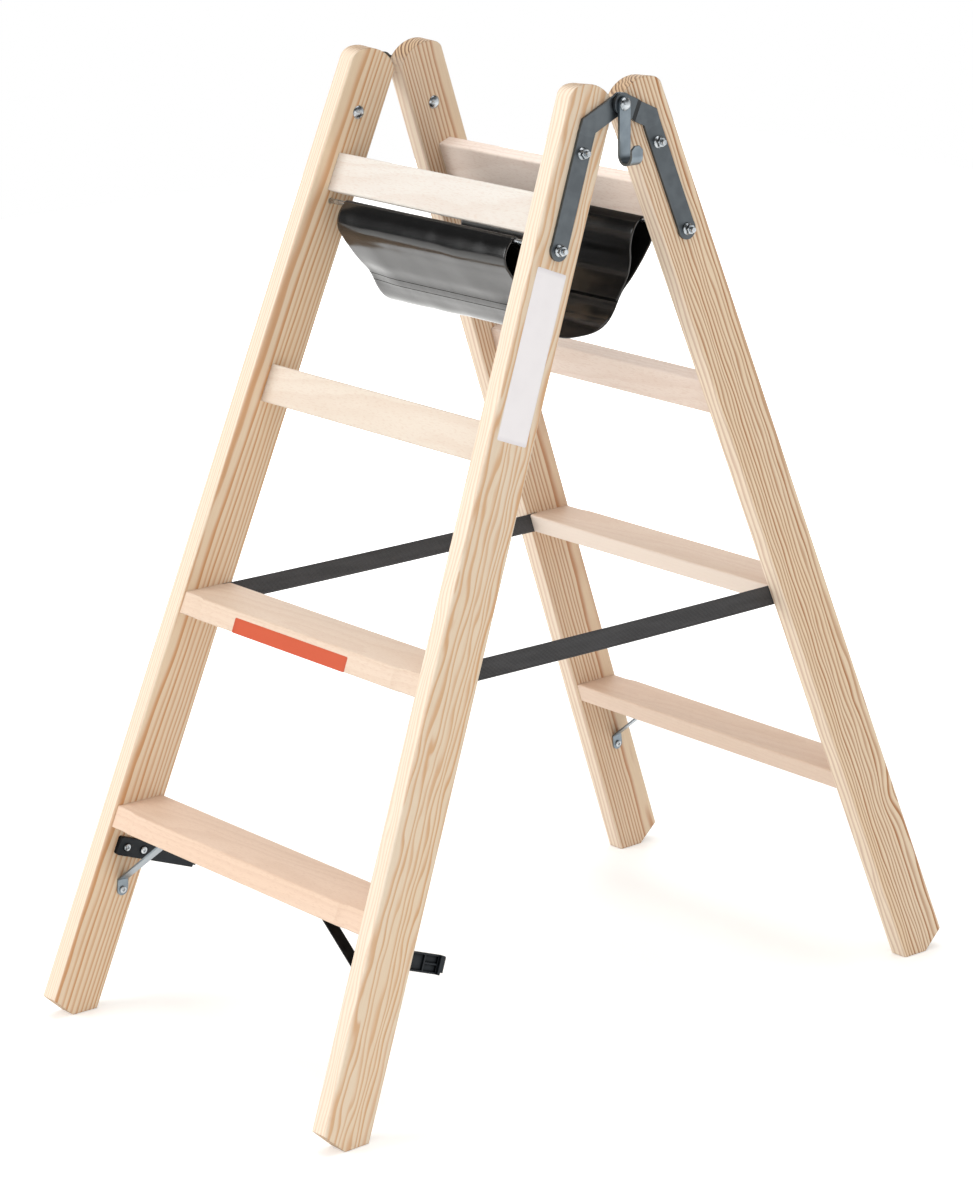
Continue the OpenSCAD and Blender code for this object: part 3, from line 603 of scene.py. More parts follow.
@dataclass(frozen=True)
class Pine:
    """Planed pine: pale early wood, orange late wood that is darker where cut across, and a paler tint on the
    narrow faces, which is painted light.
    """

    deep: str = "fff5e6"
    across: str = "5c3824"
    end: str = "c9ad8c"
    # Painted light: the tint of the narrow faces, and how much of it they get.
    sapwood: str = "e5dbcd"
    pale: float = 0.45
    fibre_range: Pair = (0.3, 0.75)
    fibre_share: float = 0.12
    arris_w: float = 0.004
    arris_share: float = 0.2
    rough: float = 0.62
    late_smooth: float = 0.12
    fibre_rough: float = 0.06
    late_h: float = 0.7
    fibre_h: float = 0.3
    gloss: float = 0.35
    relief: Relief = Relief(0.0003, 0.5, 0.0025)

    def material(self, name: str, patterns: Patterns, board: Board, growth: Growth) -> bpy.types.Material:
        """Builds the finish of one board.

        Args:
            name: The material's name.
            patterns: The shared node groups.
            board: Where the board lies.
            growth: How it was sawn.

        Returns:
            The material.
        """
        material, tree, shader = start_material(name)
        place = board.place(tree)
        rings = patterns.rings.place(tree, growth.values(place))
        latewood, fibre = rings["Latewood"], tree.ease(rings["Fibre"], *self.fibre_range)
        ends = board.facing(tree, Face.END)
        early = tree.mix(rings["Tone"], linear(growth.early), linear(self.deep), "MULTIPLY")
        early = tree.mix(ends, early, linear(self.end))
        late = tree.mix(ends, linear(growth.late), linear(self.across))
        colour = tree.mix(latewood, early, late)
        colour = tree.tint(colour, fibre, self.fibre_share, growth.late)
        # Painted light: a paler tint on the faces that look along the board's depth.
        colour = tree.tint(colour, board.facing(tree, Face.EDGE), self.pale, self.sapwood)
        # Paler along the long edges: sanded wood and partly a painted highlight.
        arris = board.arris(tree, patterns, place, self.arris_w)
        colour = tree.tint(colour, arris, self.arris_share, growth.early)
        rough = tree.math("MULTIPLY_ADD", latewood, -self.late_smooth, self.rough)
        fibre_height = tree.math("MULTIPLY", rings["Fibre"], self.fibre_h)
        height = tree.math("MULTIPLY_ADD", latewood, self.late_h, fibre_height)
        tree.fill(shader, {"Base Color": colour, "Specular IOR Level": self.gloss,
                           "Roughness": tree.math("MULTIPLY_ADD", fibre, self.fibre_rough, rough),
                           "Normal": tree.bump(height, self.relief)})
        return material


@dataclass(frozen=True)
class Beech:
    """Planed beech: pinkish ground with faint rings, short dark flecks and, on some rungs, painted light: a
    paler tint on the edges.
    """

    ground: str
    deep: str
    # Painted light: how much the edges are tinted paler, and the tint.
    pale: float = 0.0
    edge: str = "efe3d8"
    fleck: str = "b98f74"
    ring_share: float = 0.14
    fleck_share: float = 0.14
    pore_range: Pair = (0.45, 0.8)
    pore_share: float = 0.1
    end_share: float = 0.45
    arris_w: float = 0.003
    arris_share: float = 0.3
    rough: float = 0.5
    pore_rough: float = 0.14
    fleck_depth: float = 0.5
    gloss: float = 0.35
    relief: Relief = Relief(0.00015, 0.4, 0.002)

    def material(self, name: str, patterns: Patterns, board: Board, growth: Growth) -> bpy.types.Material:
        """Builds the finish of one rung.

        Args:
            name: The material's name.
            patterns: The shared node groups.
            board: Where the rung lies.
            growth: How it was sawn.

        Returns:
            The material.
        """
        material, tree, shader = start_material(name)
        place = board.place(tree)
        rings = patterns.rings.place(tree, growth.values(place))
        flecks = patterns.flecks.place(tree, {"Place": place, "Seed": growth.seed})
        fleck, pore = flecks["Fleck"], flecks["Pore"]
        colour = tree.mix(rings["Tone"], linear(self.ground), linear(self.deep))
        colour = tree.tint(colour, rings["Latewood"], self.ring_share, self.fleck)
        colour = tree.tint(colour, fleck, self.fleck_share, self.fleck)
        colour = tree.tint(colour, tree.ease(pore, *self.pore_range), self.pore_share, self.fleck)
        colour = tree.tint(colour, board.facing(tree, Face.END), self.end_share, self.deep, "MULTIPLY")
        # Painted light on the edges that look along the rung's depth.
        colour = tree.tint(colour, board.facing(tree, Face.EDGE), self.pale, self.edge)
        # Paler along the long edges: sanded wood and partly a painted highlight.
        arris = board.arris(tree, patterns, place, self.arris_w)
        colour = tree.tint(colour, arris, self.arris_share, self.ground)
        height = tree.math("MULTIPLY_ADD", fleck, -self.fleck_depth, pore)
        tree.fill(shader, {"Base Color": colour, "Specular IOR Level": self.gloss,
                           "Roughness": tree.math("MULTIPLY_ADD", pore, self.pore_rough, self.rough),
                           "Normal": tree.bump(height, self.relief)})
        return material


@dataclass(frozen=True)
class Plated:
    """Plated steel: a cloudy grey with fine scratches, bright or dull, and painted shade, a dark dull colour,
    on a joggle's slope.
    """

    name: str
    light: str
    dark: str
    rough: float
    grain: float = 70.0
    joggle: Triple | None = None
    slope_dark: str = "2c2e30"
    slope_along: Pair = (0.2, 0.35)
    slope_sideways: Pair = (0.5, 0.7)
    slope_dull: float = 0.45
    gloss: float = 0.5
    cloud_range: Pair = (0.25, 0.75)
    cloud_rough: float = 0.06
    scratch_rough: float = 0.16
    relief: Relief = Relief(0.00003, 0.5, 0.0007)

    def slope(self, tree: Tree) -> Socket:
        """Adds the mask of the painted shade: the faces that look sideways and also somewhat along the
        joggle's direction.
        """
        normal = tree.coordinate("Normal")
        along = tree.ease(tree.measure("DOT_PRODUCT", normal, self.joggle), *self.slope_along)
        sideways = tree.ease(tree.math("ABSOLUTE", tree.parts(normal)[0]), *self.slope_sideways)
        return tree.math("MULTIPLY", along, sideways)

    def material(self, patterns: Patterns) -> bpy.types.Material:
        """Builds the finish.

        Args:
            patterns: The shared node groups.

        Returns:
            The material.
        """
        material, tree, shader = start_material(self.name)
        plating = patterns.plating.place(tree, {"Place": tree.coordinate("Object"), "Grain": self.grain})
        cloud = tree.ease(plating["Cloud"], *self.cloud_range)
        colour = tree.mix(cloud, linear(self.dark), linear(self.light))
        metallic, gloss = 1.0, self.gloss
        # Painted shade and painted dark reflection on the joggle's slope: a dark colour, no metal and less
        # gloss.
        if self.joggle:
            slope = self.slope(tree)
            colour = tree.mix(slope, colour, linear(self.slope_dark))
            metallic = tree.math("SUBTRACT", 1.0, slope)
            gloss = tree.math("MULTIPLY_ADD", slope, -self.slope_dull, self.gloss)
        rough = tree.math("MULTIPLY_ADD", plating["Scratch"], self.scratch_rough, self.rough)
        tree.fill(shader, {"Base Color": colour, "Metallic": metallic, "Specular IOR Level": gloss,
                           "Roughness": tree.math("MULTIPLY_ADD", cloud, self.cloud_rough, rough),
                           "Normal": tree.bump(plating["Scratch"], self.relief)})
        return material


@dataclass(frozen=True)
class Moulded:
    """Black moulded plastic with a fine spark-eroded grain, paler rubbed spots and painted shade in its
    hollows.
    """

    name: str = "black_moulded_plastic"
    dark: str = "131a20"
    rubbed: str = "1c242b"
    grain: Noise = Noise(2400.0, 2.0)
    grain_rough: float = 0.2
    spots: Noise = Noise(60.0, 3.0)
    spot_range: Pair = (0.5, 0.75)
    spot_share: float = 0.6
    hollow_reach: float = 0.008
    hollow_samples: int = 8
    hollow_power: float = 2.0
    rough: float = 0.42
    gloss: float = 0.28
    relief: Relief = Relief(0.00006, 0.5, 0.0008)

    def material(self) -> bpy.types.Material:
        """Builds the finish.

        Returns:
            The material.
        """
        material, tree, shader = start_material(self.name)
        place = tree.coordinate("Object")
        grain = tree.noise(place, self.grain)
        spots = tree.ease(tree.noise(place, self.spots), *self.spot_range)
        colour = tree.tint(linear(self.dark), spots, self.spot_share, self.rubbed)
        # Painted shade: ambient occlusion darkens the colour and the gloss in the hollows.
        reach = {"Distance": self.hollow_reach}
        painted_shade_node = tree.node("ShaderNodeAmbientOcclusion", reach, samples=self.hollow_samples)
        unshaded_share = tree.math("POWER", painted_shade_node.outputs["AO"], self.hollow_power)
        tree.fill(shader, {"Base Color": tree.mix(unshaded_share, BLACK, colour),
                           "Roughness": tree.math("MULTIPLY_ADD", grain, self.grain_rough, self.rough),
                           "Specular IOR Level": tree.math("MULTIPLY", unshaded_share, self.gloss),
                           "Normal": tree.bump(grain, self.relief)})
        return material


@dataclass(frozen=True)
class Webbing:
    """Charcoal webbing: ribs of warp threads across the strap, crossed by picks, in metres on its UV map."""

    name: str = "charcoal_webbing"
    thread: str = "3d3c3e"
    gap: str = "151516"
    worn: str = "4c4b4d"
    rib: float = 0.0015
    rib_rise: Pair = (0.0, 0.4)
    pick: float = 0.0019
    pick_rise: Pair = (0.0, 0.35)
    pick_h: Pair = (0.45, 1.0)
    wear: Noise = Noise((90, 14, 1), 3.0)
    wear_range: Pair = (0.35, 0.7)
    wear_share: float = 0.3
    rough: float = 0.8
    thread_smooth: float = 0.15
    sheen: float = 0.15
    relief: Relief = Relief(0.0004, 0.8)

    def material(self) -> bpy.types.Material:
        """Builds the finish: threads are raised half-waves, and every other rib is half a pick further on.

        Returns:
            The material.
        """
        material, tree, shader = start_material(self.name)
        uv = tree.uv()
        across, along, _ = tree.parts(uv)
        ribs = tree.math("DIVIDE", across, self.rib)
        rib = tree.math("PINGPONG", ribs, 0.5)
        shift = tree.math("MULTIPLY", tree.math("MODULO", tree.math("FLOOR", ribs), 2.0), 0.5)
        pick = tree.math("PINGPONG", tree.math("ADD", tree.math("DIVIDE", along, self.pick), shift), 0.5)
        height = tree.math("MULTIPLY", tree.ease(rib, *self.rib_rise),
                           tree.ease(pick, *self.pick_rise, *self.pick_h))
        wear = tree.ease(tree.noise(uv, self.wear), *self.wear_range)
        colour = tree.mix(height, linear(self.gap), linear(self.thread))
        tree.fill(shader, {"Base Color": tree.tint(colour, wear, self.wear_share, self.worn),
                           "Roughness": tree.math("MULTIPLY_ADD", height, -self.thread_smooth, self.rough),
                           "Sheen Weight": self.sheen, "Normal": tree.bump(height, self.relief)})
        return material


@dataclass(frozen=True)
class Vinyl:
    """Glossy black coated sheet, in metres on its UV map: fine emboss, slack ripples and two dull seams."""

    name: str = "black_coated_sheet"
    face: str = "141414"
    seam: str = "050505"
    seams: Pair = (0.0705, 0.0805)
    seam_w: float = 0.0012
    seam_rough: float = 0.4
    seam_dull: float = 0.75
    emboss: Noise = Noise(1500.0, 1.0)
    emboss_h: float = 0.012
    ripple: Noise = Noise((16, 30, 1), 2.0)
    smear: Noise = Noise((40, 22, 1), 4.0)
    smear_range: Pair = (0.4, 0.75)
    smear_rough: float = 0.07
    rough: float = 0.16
    gloss: float = 0.8
    relief: Relief = Relief(0.0016, 0.2)

    def material(self) -> bpy.types.Material:
        """Builds the finish.

        Returns:
            The material.
        """
        material, tree, shader = start_material(self.name)
        uv = tree.uv()
        along = tree.math("ABSOLUTE", tree.parts(uv)[1])
        off_seams = (tree.math("ABSOLUTE", tree.math("SUBTRACT", along, seam)) for seam in self.seams)
        seam = tree.math("MAXIMUM", *(tree.ease(off, 0.0, self.seam_w, 1.0, 0.0) for off in off_seams))
        smear = tree.ease(tree.noise(uv, self.smear), *self.smear_range)
        rough = tree.math("MULTIPLY_ADD", smear, self.smear_rough, self.rough)
        emboss, ripple = tree.noise(uv, self.emboss), tree.noise(uv, self.ripple)
        height = tree.math("MULTIPLY_ADD", emboss, self.emboss_h, ripple)
        tree.fill(shader, {"Base Color": tree.mix(seam, linear(self.face), linear(self.seam)),
                           "Roughness": tree.math("MULTIPLY_ADD", seam, self.seam_rough, rough),
                           "Specular IOR Level": tree.math("MULTIPLY_ADD", seam, -self.seam_dull, self.gloss),
                           "Normal": tree.bump(height, self.relief)})
        return material


@dataclass(frozen=True)
class Foil:
    """Plain foil of a sticker: an even colour with a paper-like tooth and a slightly worn rim."""

    name: str
    ground: str
    rim: str
    rim_range: Pair = (0.93, 1.0)
    rim_share: float = 0.5
    cloud: Noise = Noise(45.0, 3.0)
    cloud_range: Pair = (0.4, 0.8)
    cloud_share: float = 0.12
    tooth: Noise = Noise(1800.0, 2.0)
    tooth_rough: float = 0.12
    rough: float = 0.38
    gloss: float = 0.25
    relief: Relief = Relief(0.00005, 0.4)

    def material(self) -> bpy.types.Material:
        """Builds the finish, on a UV map that runs from -1 to 1 both ways.

        Returns:
            The material.
        """
        material, tree, shader = start_material(self.name)
        place = tree.coordinate("Object")
        across, along, _ = tree.parts(tree.vector("ABSOLUTE", tree.uv()))
        rim = tree.ease(tree.math("MAXIMUM", across, along), *self.rim_range)
        tooth = tree.noise(place, self.tooth)
        cloud = tree.ease(tree.noise(place, self.cloud), *self.cloud_range)
        colour = tree.tint(linear(self.ground), rim, self.rim_share, self.rim)
        tree.fill(shader, {"Base Color": tree.tint(colour, cloud, self.cloud_share, self.rim),
                           "Roughness": tree.math("MULTIPLY_ADD", tooth, self.tooth_rough, self.rough),
                           "Specular IOR Level": self.gloss, "Normal": tree.bump(tooth, self.relief)})
        return material


# Meshes


def grid_piece(name: str, points: np.ndarray, uv: np.ndarray, material: bpy.types.Material,
               wrap: bool = False) -> bpy.types.Object:
    """Makes a piece from a grid of points, with a face between each four neighbours.

    Args:
        name: The piece's name.
        points: Rows by columns by 3, in metres.
        uv: Rows by columns by 2; on a wrapped grid with one column more.
        material: The finish.
        wrap: Whether the last column joins the first.

    Returns:
        The new object, at the origin.
    """
    rows, cols = points.shape[:2]
    number = np.arange(rows * cols).reshape(rows, cols)
    if wrap:
        number = np.hstack([number, number[:, :1]])
    corners = (slice(None, -1), slice(1, None))
    order = ((0, 0), (0, 1), (1, 1), (1, 0))
    faces = np.stack([number[corners[r], corners[c]] for r, c in order], -1).reshape(-1, 4)
    loops = np.stack([uv[corners[r], corners[c]] for r, c in order], -2).reshape(-1, 2)
    mesh = bpy.data.meshes.new(name)
    mesh.from_pydata(points.reshape(-1, 3).tolist(), [], faces.tolist())
    mesh.uv_layers.new(name=UV_NAME).data.foreach_set("uv", loops.astype(np.float32).ravel())
    mesh.polygons.foreach_set("use_smooth", np.ones(len(faces), bool))
    mesh.materials.append(material)
    mesh.update()
    piece = bpy.data.objects.new(name, mesh)
    bpy.context.scene.collection.objects.link(piece)
    LOG.info("built %s: %d faces", name, len(faces))
    return piece


def thicken(piece: bpy.types.Object, thickness: float) -> None:
    """Gives a sheet its thickness with a Solidify modifier, half of it to each side."""
    wall = piece.modifiers.new("thickness", "SOLIDIFY")
    wall.thickness, wall.offset, wall.use_even_offset = thickness, 0.0, True


# Sub-assemblies


@dataclass
class WoodenFrames:
    """The stiles and rungs of both frames, dressed board by board."""

    stance: Stance
    patterns: Patterns
    pine: Pine = Pine()
    beech: dict[End, tuple[Beech, ...]] = field(default_factory=lambda: {
        End.FRONT: (Beech("ddd9d2", "d3cac0"), Beech("ddd2c4", "d3c4b3"), Beech("decbb9", "d4bca5"),
                    Beech("e2c9b4", "d8baa1")),
        # Rear rungs 1 and 2 have paler grounds: painted light where the sling and the front rungs shade them.
        # Rear rungs 3 and 4 get painted light on their front edges.
        End.REAR: (Beech("f6e8dd", "eddccf"), Beech("ecddd3", "e3d1c2"), Beech("dac4b1", "d0b69e", pale=0.7),
                   Beech("d8bfaa", "ceb198", pale=0.23))})
    stiles: dict[tuple[End, Side], Growth] = field(default_factory=lambda: {
        (End.FRONT, Side.RIGHT): Growth(
            pith=(-0.128, 0.075), drift=(0.003, -0.012), pitch=0.0043, wobble=0.0095, seed=1.3,
            knot=(0.012, 0.0276, -0.559), push=-0.004, quick=0.9, late="d3a478", early="e8d9c5"),
        (End.FRONT, Side.LEFT): Growth(
            pith=(-0.0666, 0.033), drift=(0.006, -0.006), pitch=0.0036, wobble=0.0050, seed=4.9,
            late="c99160"),
        (End.REAR, Side.RIGHT): Growth(
            pith=(0.072, 0.068), drift=(0.004, 0.006), pitch=0.0038, wobble=0.0065, seed=7.7,
            knot=(0.012, 0.034, -0.953), push=-0.006, quick=0.8, late="a86a31", early="eddcc5"),
        (End.REAR, Side.LEFT): Growth(
            pith=(0.040, 0.028), drift=(0.006, 0.004), pitch=0.0040, wobble=0.0070, seed=11.2,
            late="bb8660", early="e6d4bd")})
    upright_rungs: int = 2
    upright_half: Pair = (0.0095, 0.0225)
    tread_half: Pair = (0.012, 0.034)
    rung_pith: Pair = (0.05, 0.018)
    rung_pith_step: float = 0.006
    rung_drift: Pair = (0.02, 0.05)
    rung_pitch: float = 0.0058
    rung_wobble: float = 0.02
    rung_seed: float = 2.37
    end_seed: float = 11.9

    def dress_stiles(self) -> None:
        """Gives each stile the grain of its own board."""
        half = (self.stance.stile_t / 2, self.stance.stile_d / 2)
        for (end, side), growth in self.stiles.items():
            name = node_name(end, side, "stile")
            board = Board(self.stance.stile_axes(end, side), self.stance.stile_middle(end, side), half)
            dress(name, self.pine.material(f"pine_{name}", self.patterns, board, growth))

    def rung_board(self, end: End, number: int, name: str) -> Board:
        """Gives a rung's place: the upper two stand in the frame's plane, the lower two lie level.

        Args:
            end: Which frame it belongs to.
            number: Its number from the top.
            name: The name of its CAD node.

        Returns:
            The board, round the middle of the node's box.
        """
        low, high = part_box(name)
        middle = np.array((low + high) / 2)
        if number > self.upright_rungs:
            return Board(np.eye(3)[::-1], middle, self.tread_half)
        x, out, up = self.stance.frame_axes(end)
        return Board(np.array([out, up, x]), middle, self.upright_half)

    def rung_growth(self, end: End, number: int) -> Growth:
        """Gives how a rung was sawn; the pith lies further off from rung to rung.

        Args:
            end: Which frame it belongs to.
            number: Its number from the top.

        Returns:
            The growth, with a seed of its own.
        """
        pith = (self.rung_pith[0] + self.rung_pith_step * number, self.rung_pith[1] * end.value)
        drift = (self.rung_drift[0] * end.value, self.rung_drift[1])
        seed = self.rung_seed * number + self.end_seed * end.value
        return Growth(pith, drift, self.rung_pitch, self.rung_wobble, seed)

    def dress_rungs(self) -> None:
        """Gives each rung the figure of its own board."""
        for end in End:
            for number, beech in enumerate(self.beech[end], 1):
                name = node_name(end, "rung", number)
                board, growth = self.rung_board(end, number, name), self.rung_growth(end, number)
                dress(name, beech.material(f"beech_{name}", self.patterns, board, growth))


@dataclass
class Ironwork:
    """Hinge plates, pins, bolts, nuts, rods, braces, screws and the bucket hook."""

    patterns: Patterns
    dull: Plated = Plated("dull_zinc", "676d71", "5b6064", 0.3)
    # The joggled plates carry painted shade on the joggle's slope.
    joggled: Plated = Plated("joggled_zinc", "61676b", "555a5e", 0.3, joggle=(0.0, 0.954, -0.3))
    bright: Plated = Plated("bright_zinc", "c9cdd0", "9aa1a6", 0.16, grain=140.0)
    hook: Plated = Plated("hook_zinc", "858f96", "727c84", 0.24)
    # A darker copy of the hook's zinc: painted shade for the right front brace.
    dark: Plated = Plated("dark_zinc", "24262a", "1b1d20", 0.35)

    def dress_all(self) -> None:
        """Gives each steel node its plating; the right front brace gets a darker copy of the zinc, which is
        painted shade.
        """
        finishes = (self.dull, self.joggled, self.bright, self.hook, self.dark)
        dull, joggled, bright, hook, dark = (finish.material(self.patterns) for finish in finishes)
        for end in End:
            for side in Side:
                dress(node_name(end, side, "hinge_plate"), dull if end is End.FRONT else joggled)
                # The right front brace takes the darker copy, painted shade.
                in_painted_shade = end is End.FRONT and side is Side.RIGHT
                dress(node_name(end, side, "brace"), dark if in_painted_shade else hook)
            for part in ("tie_rod", "hinge_bolts", "flange_nuts", "brace_screws"):
                dress(node_name(end, part), bright)
        for name in ("left_hinge_pin", "right_hinge_pin", "hinge_washers", "clip_screws"):
            dress(name, bright)
        dress("bucket_hook", hook)


@dataclass
class CarryClips:
    """The two plastic clips that hold the folded ladder shut."""

    finish: Moulded = Moulded()

    def dress_all(self) -> None:
        """Gives both clips their plastic."""
        plastic = self.finish.material()
        for side in Side:
            dress(node_name(side, "transport_clip"), plastic)


@dataclass(frozen=True)
class Slack:
    """How a hung sheet stands off its section. Heights are in millimetres, all other lengths in metres.

    Long ripples, a sum of cosines, die away towards the seams. Each seam is a shallow groove of Gaussian
    section, with a slight pucker round both. The crinkle is a folded wave in a small round window near the
    front right corner.
    """

    ripples: tuple = ((1.0, 41, 0, 1.1), (0.7, 67, 9, 0.4), (0.4, 113, -14, 2.0))
    free_end: Pair = (0.050, 0.068)
    free_h: float = 0.35
    panel_start: Pair = (0.085, 0.105)
    panel_end: Pair = (0.150, 0.168)
    panel_h: float = 0.25
    groove_w: float = 0.0011
    groove_h: float = 0.2
    pucker_w: float = 0.016
    pucker_wave: Pair = (330, 40)
    pucker_h: float = 0.04
    crinkle_at: Pair = (0.118, -0.074)
    crinkle_size: Pair = (0.016, 0.020)
    crinkle_wave: float = 190
    crinkle_slant: float = 0.9
    crinkle_h: float = 1.4

    def height(self, x: np.ndarray, s: np.ndarray, seams: Pair) -> np.ndarray:
        """Works out the height.

        Args:
            x: Places across the sheet.
            s: Distances along the sheet from its middle.
            seams: How far from the middle the seams lie.

        Returns:
            The height along the section's normal, in metres.
        """
        far = np.abs(s)
        free = 1 - smooth(far, *self.free_end)
        panel = smooth(far, *self.panel_start) * (1 - smooth(far, *self.panel_end))
        wave = sum(size * np.cos(by_x * x + by_s * s + start) for size, by_x, by_s, start in self.ripples)
        groove = sum(bell(far - seam, self.groove_w) for seam in seams)
        pucker = bell(far - sum(seams) / 2, self.pucker_w)
        pucker = pucker * np.cos(self.pucker_wave[0] * x + self.pucker_wave[1] * s)
        window = bell(x - self.crinkle_at[0], self.crinkle_size[0])
        window = window * bell(s - self.crinkle_at[1], self.crinkle_size[1])
        crinkle = window * np.abs(np.sin(self.crinkle_wave * (x + self.crinkle_slant * s)))
        return MM * (self.free_h * free * wave + self.panel_h * panel * wave - self.groove_h * groove
                     + self.pucker_h * pucker - self.crinkle_h * crinkle)


@dataclass
class ToolSling:
    """Coated sheet that hangs between the tie rods, with a hem round each rod sewn down by two seams.

    The section is a smooth curve through points: cubic spans that keep the mean heading of their neighbours.
    The surface is that section carried along X and moved along its normal by its slack. The trough's points
    are in shares of the rod's Y and of the drop, those of the hems in shares of their reach and of the drop.
    """

    rod_y: float = 0.0941
    rod_z: float = 0.9294
    rod_d: float = 0.006
    drop: float = 0.125
    trough: tuple = ((0, 1), (0.30, 0.975), (0.45, 0.91), (0.55, 0.815), (0.605, 0.735), (0.68, 0.645),
                     (0.82, 0.54), (0.945, 0.43), (1.06, 0.315))
    sewn: tuple[int, int] = (5, 4)
    hem_out: float = 0.014
    hem_outer: tuple = ((1.0, -0.2), (0.9, -0.08))
    hem_in: float = 0.018
    hem_inner: tuple = ((-0.7, -0.07), (-1.0, -0.22), (-1.0, -0.37), (-1.2, -0.5))
    hem_turn: Pair = (40, 140)
    hem_steps: int = 5
    flap_s: float = 0.172
    sheet_t: float = 0.0014
    cad_t: float = 0.0016
    gap: float = 0.00035
    width: float = 0.295
    shift: float = -0.0075
    depth: Pair = (0.985, 0.96)
    belly: float = 0.007
    belly_z: float = 0.842
    belly_reach: Pair = (0.014, 0.025)
    belly_end: Pair = (0.6, 1.0)
    span_steps: int = 24
    rows: int = 300
    cols: int = 110
    slack: Slack = Slack()
    finish: Vinyl = Vinyl()

    def section_points(self) -> np.ndarray:
        """Works out the points of the section.

        Returns:
            Points in Y and Z from the end of the front flap to that of the rear one. The front half is the
            mirrored rear half.
        """
        rod = np.array([self.rod_y, self.rod_z])
        low = np.array([0, self.rod_z]) + np.array(self.trough, float) * [self.rod_y, -self.drop]
        outer = np.array(self.hem_outer) * [self.hem_out, self.drop]
        turn = np.radians(np.linspace(*self.hem_turn, self.hem_steps))
        over = (self.rod_d / 2 + self.gap + self.cad_t / 2) * np.column_stack([np.cos(turn), np.sin(turn)])
        inner = np.array(self.hem_inner) * [self.hem_in, self.drop]
        last, first = self.sewn
        way = unit(low[last] - low[first])
        flap = low[[last, first]] + np.array([-way[1], way[0]]) * (self.cad_t + self.gap)
        half = np.vstack([low, rod + outer, rod + over, rod + inner, flap])
        return np.vstack([half[:0:-1] * [-1, 1], half])

    def section(self) -> tuple[np.ndarray, np.ndarray]:
        """Works out the section.

        Returns:
            Evenly spaced points in Y and Z, and their distance along the sheet from its middle.
        """
        points = self.section_points()
        step = points[1:] - points[:-1]
        way = unit(step)
        heading = unit(np.vstack([way[:1], way[:-1] + way[1:], way[-1:]]))
        length = np.linalg.norm(step, axis=1)[:, None, None]
        t = np.linspace(0, 1, self.span_steps, endpoint=False)[None, :, None]
        p, q, a, b = points[:-1, None], points[1:, None], heading[:-1, None], heading[1:, None]
        spans = ((2 * t**3 - 3 * t**2 + 1) * p + (t**3 - 2 * t**2 + t) * length * a
                 + (3 * t**2 - 2 * t**3) * q + (t**3 - t**2) * length * b)
        fine = np.vstack([spans.reshape(-1, 2), points[-1:]])
        run = run_along(fine)
        run -= run[-1] / 2
        even = np.linspace(run[0], run[-1], self.rows)
        return np.column_stack([np.interp(even, run, fine[:, 0]), np.interp(even, run, fine[:, 1])]), even

    def forward(self, x: np.ndarray, section: np.ndarray) -> np.ndarray:
        """Gives how far the front panel hangs forward: a hump in height that dies away at both ends.

        Args:
            x: Places across the sheet, on the grid.
            section: The section's points.

        Returns:
            The distance towards the front, in metres.
        """
        y, z = section[:, :1], section[:, 1:]
        reach = np.where(z < self.belly_z, *self.belly_reach)
        hump = np.where(y < 0, bell(z - self.belly_z, reach), 0.0)
        return self.belly * hump * (1 - smooth(np.abs(x - self.shift) / (self.width / 2), *self.belly_end))

    def build(self) -> bpy.types.Object:
        """Returns:
            The sling.
        """
        section, s = self.section()
        tangent = unit(np.gradient(section, axis=0))
        normal = np.column_stack([-tangent[:, 1], tangent[:, 0]])
        x = self.shift + self.width * np.linspace(-0.5, 0.5, self.cols)
        s_grid, x_grid = np.meshgrid(s, x, indexing="ij")
        off = self.slack.height(x_grid, s_grid, self.finish.seams)
        off = np.where(np.abs(s_grid) > self.flap_s, 0.0, off)
        out = section[:, :1] + normal[:, :1] * off - self.forward(x_grid, section)
        hang = section[:, 1:] + normal[:, 1:] * off - self.rod_z
        fall = np.interp(x, x[[0, -1]], self.depth)[None, :]
        hang = self.rod_z + np.where(hang < 0, hang * fall, hang)
        points, uv = np.stack([x_grid, out, hang], -1), np.stack([x_grid, s_grid], -1)
        piece = grid_piece("hung_sling", points, uv, self.finish.material())
        thicken(piece, self.sheet_t)
        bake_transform(piece)
        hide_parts("tool_sling")
        return piece


